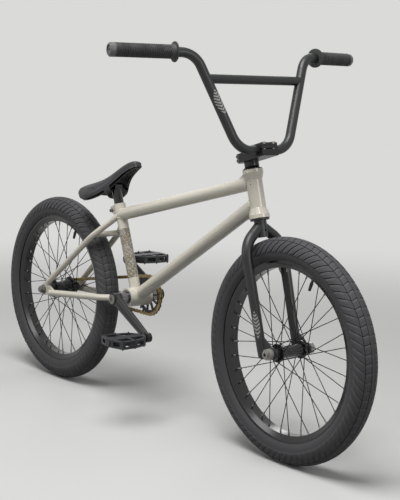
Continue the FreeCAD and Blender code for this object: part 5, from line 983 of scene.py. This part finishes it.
def meeting_curve(first, second, count, toward):
    """Points where the first tube's surface enters the second's, on the side it comes from.

    A line p + t d along the first tube is at distance R from the second's axis where
    |(p + t d - c) x a| = R, and the crossing nearer to the first tube's middle is taken."""
    (c1, d, r1), (c2, a, r2) = first, second
    basis = np.linalg.svd(d[None])[2][1:]
    turn = np.linspace(0, 2 * math.pi, count, endpoint=False)
    spoke = np.cos(turn)[:, None] * basis[0] + np.sin(turn)[:, None] * basis[1]
    line = c1 + spoke * r1
    fixed, slope = np.cross(line - c2, a), np.cross(d, a)
    qa, qb = slope @ slope, 2 * fixed @ slope
    qc = np.einsum("ij,ij->i", fixed, fixed) - r2 ** 2
    root = np.sqrt(np.maximum(qb ** 2 - 4 * qa * qc, 0))
    either = np.stack([(-qb - root) / (2 * qa), (-qb + root) / (2 * qa)])
    goal = (np.array(toward) - c1) @ d
    pick = np.abs(either - goal).sum(1).argmin()
    points = line + either[pick][:, None] * d
    hub = points - c2
    outward = unit(hub - np.outer(hub @ a, a))
    return points, unit(outward + spoke)


def bead(curve, outward):
    """Carries a circle along the closed curve. Its radius swells once per drop."""
    run = distances(np.vstack([curve, curve[:1]])) / MM
    drops = max(6, round(run[-1] / DROP_PITCH))
    at = np.linspace(0, run[-1], drops * DROP_STEPS, endpoint=False)
    pick = [resample(at, run, np.vstack([rows, rows[:1]])) for rows in (curve, outward)]
    phase = (at / run[-1] * drops) % 1
    swell = BEAD_RADIUS * (0.74 + 0.26 * np.sqrt(np.sin(np.pi * np.clip(phase, 0.02, 0.98))))
    along = unit(np.roll(pick[0], -1, 0) - np.roll(pick[0], 1, 0))
    out = unit(pick[1] - along * np.einsum("ij,ij->i", pick[1], along)[:, None])
    side = np.cross(along, out)
    turn = np.arange(BEAD_SIDES) / BEAD_SIDES * 2 * math.pi
    loop = np.cos(turn)[None, :, None] * out[:, None] + np.sin(turn)[None, :, None] * side[:, None]
    points = pick[0][:, None] + loop * (swell * MM)[:, None, None]
    return points, grid_faces(*points.shape[:2])


LINE = {node: tube_line(node) for node in ("head_tube", "top_tube", "down_tube", "seat_tube",
                                           "bottom_bracket_shell")}
for node, (middle, axis, radius) in LINE.items():
    print(node, "radius", round(radius / MM, 2), "direction", np.round(axis, 3))

# %% [markdown]
# Five joins of the frame get a bead. All of them are one piece, which is painted with the frame.

# %% Lay the beads


def box_middle(node):
    low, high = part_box(node)
    return (low + high) / 2


def lay_beads(name, joins, body, slot):
    """One mesh with a bead for each pair: the tube that ends, and the tube that it ends on."""
    points, faces, start = [], [], 0
    for ending, standing in joins:
        toward = box_middle(standing) + (box_middle(ending) - box_middle(standing)) * 0.1
        curve, outward = meeting_curve(LINE[ending], LINE[standing], CURVE_POINTS, toward)
        made, quads = bead(curve, outward)
        points.append(made.reshape(-1, 3))
        faces.append(quads + start)
        start += len(points[-1])
    piece = add_mesh(name, np.vstack(points), np.vstack(faces), 180)
    turn_outward(piece.data)
    dress(piece, body, slot)


lay_beads("frame_weld_beads", (("top_tube", "head_tube"), ("down_tube", "head_tube"),
                               ("top_tube", "seat_tube"), ("down_tube", "bottom_bracket_shell"),
                               ("seat_tube", "bottom_bracket_shell")), "frame", "frame_paint")

# %% [markdown]
# ## Printed bands
#
# A bike like this carries print under its clear coat. Here the print is plain pattern: rows of
# scales on the seat tube, and chevrons on one leg of the bar and of the fork. The down tube, the
# crossbar, the other fork leg and the rims are bare, and so is the head tube apart from its two
# breather holes, which are painted as dark dots of shade. Each pattern is a formula in the distance
# along the tube and the angle round it, so it wraps the tube without a picture.

# %% Enamel with print
CREAM, CREAM_SHADE = rgb(205, 200, 186), rgb(199, 194, 180)
INK_AND_HOLE_SHADE, GOLD = rgb(42, 40, 36), rgb(166, 142, 92)
PALE_PRINT = rgb(150, 150, 149)
BLACK, BLACK_SHADE = rgb(26, 27, 28), rgb(23, 24, 25)
SCALE_SIZE, SEAT_TUBE_RADIUS = 0.013, 0.0143
BAND_ENDS = (0.030, 0.068)
HEAD_TUBE_RADIUS, HOLE_RADIUS = 0.0182, 0.0013
HOLES_DOWN, HOLE_ANGLE = (0.027, 0.034), 1.24
CHEVRON_SLANT, CHEVRON_BOLD = 0.7, 0.28


def printed_enamel(name, pattern):
    """Cream enamel on which the pattern says where dark marks and gold lie, both from 0 to 1.
    Dark marks are print ink, and painted shade where they stand for holes.
    """
    paint = new_paint(name)
    drift, speck = paint.noise(DRIFT_SIZE, 2.0), paint.noise(0.0008, 2.0)
    dark_mark, gold = pattern(paint)
    tone = paint.blend(drift * 0.6 + speck * 0.4, CREAM_SHADE, CREAM)
    worn = paint.noise(0.004, 3.0).above(0.24, 0.2)
    tone = paint.blend(gold * worn, tone, GOLD)
    # Dark marks: print ink, and painted shade for the head tube's breather holes.
    tone = paint.blend(dark_mark * worn * 0.95, tone, INK_AND_HOLE_SHADE)
    return paint.done(Base_Color=tone, Roughness=0.26 + (drift - 0.5) * 0.1 + dark_mark * 0.06,
                      Normal=paint.relief(speck, 0.000006, 0.6), Coat_Weight=0.4,
                      Coat_Roughness=COAT_ROUGHNESS)


def printed_black(name, pattern):
    """Black powder coat with a pale print."""
    paint = new_paint(name)
    drift, speck = paint.noise(DRIFT_SIZE, 2.0), paint.noise(0.0006, 2.0)
    print_mask = pattern(paint) * paint.noise(0.003, 3.0).above(0.3, 0.3)
    tone = paint.blend(drift * 0.6 + speck * 0.4, BLACK_SHADE, BLACK)
    return paint.done(Base_Color=paint.blend(print_mask, tone, PALE_PRINT),
                      Roughness=0.4 + (drift - 0.5) * 0.12 + print_mask * 0.1,
                      Normal=paint.relief(speck, 0.00003, 0.6))


def scales(low, high, size, radius):
    """Rows of overlapping scales between two distances from the line's middle.

    Rows are half a scale high, and every other row is shifted by half a scale. Inside a cell the
    distance from its lower middle gives the rings: ink where it is near a whole ring, gold
    between two of them."""
    def pattern(paint, line, front):
        along, turn = paint.around(line, front)
        row = along / (size * 0.5)
        odd = row.maths("FLOOR", row).rest(2)
        across = (turn * (radius / size) + odd * 0.5).rest(1) - 0.5
        up = row.rest(1) * 0.5
        far = paint.maths("SQRT", across * across + up * up)
        dark_mark = (far * 4.0).wave(1.0).above(0.35, 0.5).larger(across.size().above(0.45, 0.04))
        gold = far.within(0.28, 0.42, 0.05) * paint.noise(0.016, 1.0).above(0.52, 0.1)
        edge = along.within(low, high, 0.0015)
        wisps = paint.noise(0.006, 4.0).within(0.44, 0.52, 0.04)
        return (dark_mark * 0.9).larger(wisps * 0.7) * edge, gold * edge
    return pattern


def chevrons(low, pitch, count, width, radius):
    """Pale V-shaped strokes one behind another, narrower towards both ends of the row."""
    def pattern(paint, line, front):
        along, turn = paint.around(line, front)
        across = turn * radius
        phase = (along - low - across.size() * CHEVRON_SLANT) / pitch
        share = (along - low) * (1 / (pitch * count))
        room = (share * (1 - share) * 4).larger(0) * width
        stroke = 1 - (phase.rest(1) - 0.5).size().above(CHEVRON_BOLD, 0.08)
        row = phase.within(-0.5, count + 0.5, 0.05)
        return stroke * (room - across.size()).above(0, 0.0008) * row
    return pattern


def breather_holes(places, radius, hole):
    """Breather holes as painted shade: small dark dots at (distance along the tube, angle from the
    front), and no gold.
    """
    def pattern(paint, line, front):
        along, turn = paint.around(line, front)
        dark_mark = along * 0
        for height, angle in places:
            up, over = along - height, (turn - angle) * radius
            dark_mark = dark_mark.larger(1 - paint.maths("SQRT", up * up + over * over).above(hole, 0.0004))
        return dark_mark, along * 0
    return pattern


def wrap(name, node, front, pattern):
    line = LINE[node]
    frame["nodes"][node].material_slots[0].material = printed_enamel(
        name, lambda paint: pattern(paint, line, front))
    print(name, "on", node)


def end_of(node, toward):
    """Distance along the node's line of the end that lies in that direction."""
    middle, axis = LINE[node][:2]
    points = (vertex_array(frame["nodes"][node].data) - middle) @ axis
    return points.max() if axis @ np.array(toward) > 0 else points.min()


seat_low, seat_high = sorted((end_of("seat_tube", (0, 0, -1)), end_of("seat_tube", (0, 0, 1))))
first, last = BAND_ENDS if LINE["seat_tube"][1][2] > 0 else BAND_ENDS[::-1]
wrap("scaled_enamel", "seat_tube", (1, 0, 0),
     scales(seat_low + first, seat_high - last, SCALE_SIZE, SEAT_TUBE_RADIUS))
head_up = 1 if LINE["head_tube"][1][2] > 0 else -1
head_top = end_of("head_tube", (0, 0, 1))
# The breather holes are not cut: they are dark dots of painted shade.
holes = [(head_top - head_up * down, -HOLE_ANGLE * head_up) for down in HOLES_DOWN]
wrap("holed_enamel", "head_tube", (1, 0, 0),
     breather_holes(holes, HEAD_TUBE_RADIUS, HOLE_RADIUS))

# %% [markdown]
# The chevrons are pale on black. Each row lies on one straight run of a bent tube, whose line is
# fitted to the faces between two heights. Both fork legs are equally high, so the left one's box
# gives the heights.

# %% Pale print on the black parts


def print_on(name, node, line, front, pattern):
    frame["nodes"][node].material_slots[0].material = printed_black(
        name, lambda paint: pattern(paint, line, front))
    print(name, "on", node, "radius", round(line[2] / MM, 2))


def pointing(line, toward):
    """The same line with its direction turned to the given side."""
    middle, axis, radius = line
    return middle, axis * np.sign(axis @ np.array(toward)), radius


low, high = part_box("handlebar")
level = (low.z * 0.45 + high.z * 0.55, low.z * 0.7 + high.z * 0.3)
bar_leg = tube_line("handlebar", lambda x, y, z: (y < 0) & (z < level[0]) & (z > level[1]))
print_on("chevron_black", "handlebar", pointing(bar_leg, (0, 0, 1)), (1, 0, 0),
         chevrons(-0.005, 0.0075, 8, 0.0125, 0.0111))
low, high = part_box("fork_leg_left")
level = (low.z + (high.z - low.z) * 0.22, low.z + (high.z - low.z) * 0.62)
fork_leg = tube_line("fork_leg_right", lambda x, y, z: (z < level[1]) & (z > level[0]))
print_on("chevron_fork_black", "fork_leg_right", pointing(fork_leg, (0, 0, 1)), (0.6, -1, 0),
         chevrons(-0.085, 0.008, 8, 0.009, 0.012))
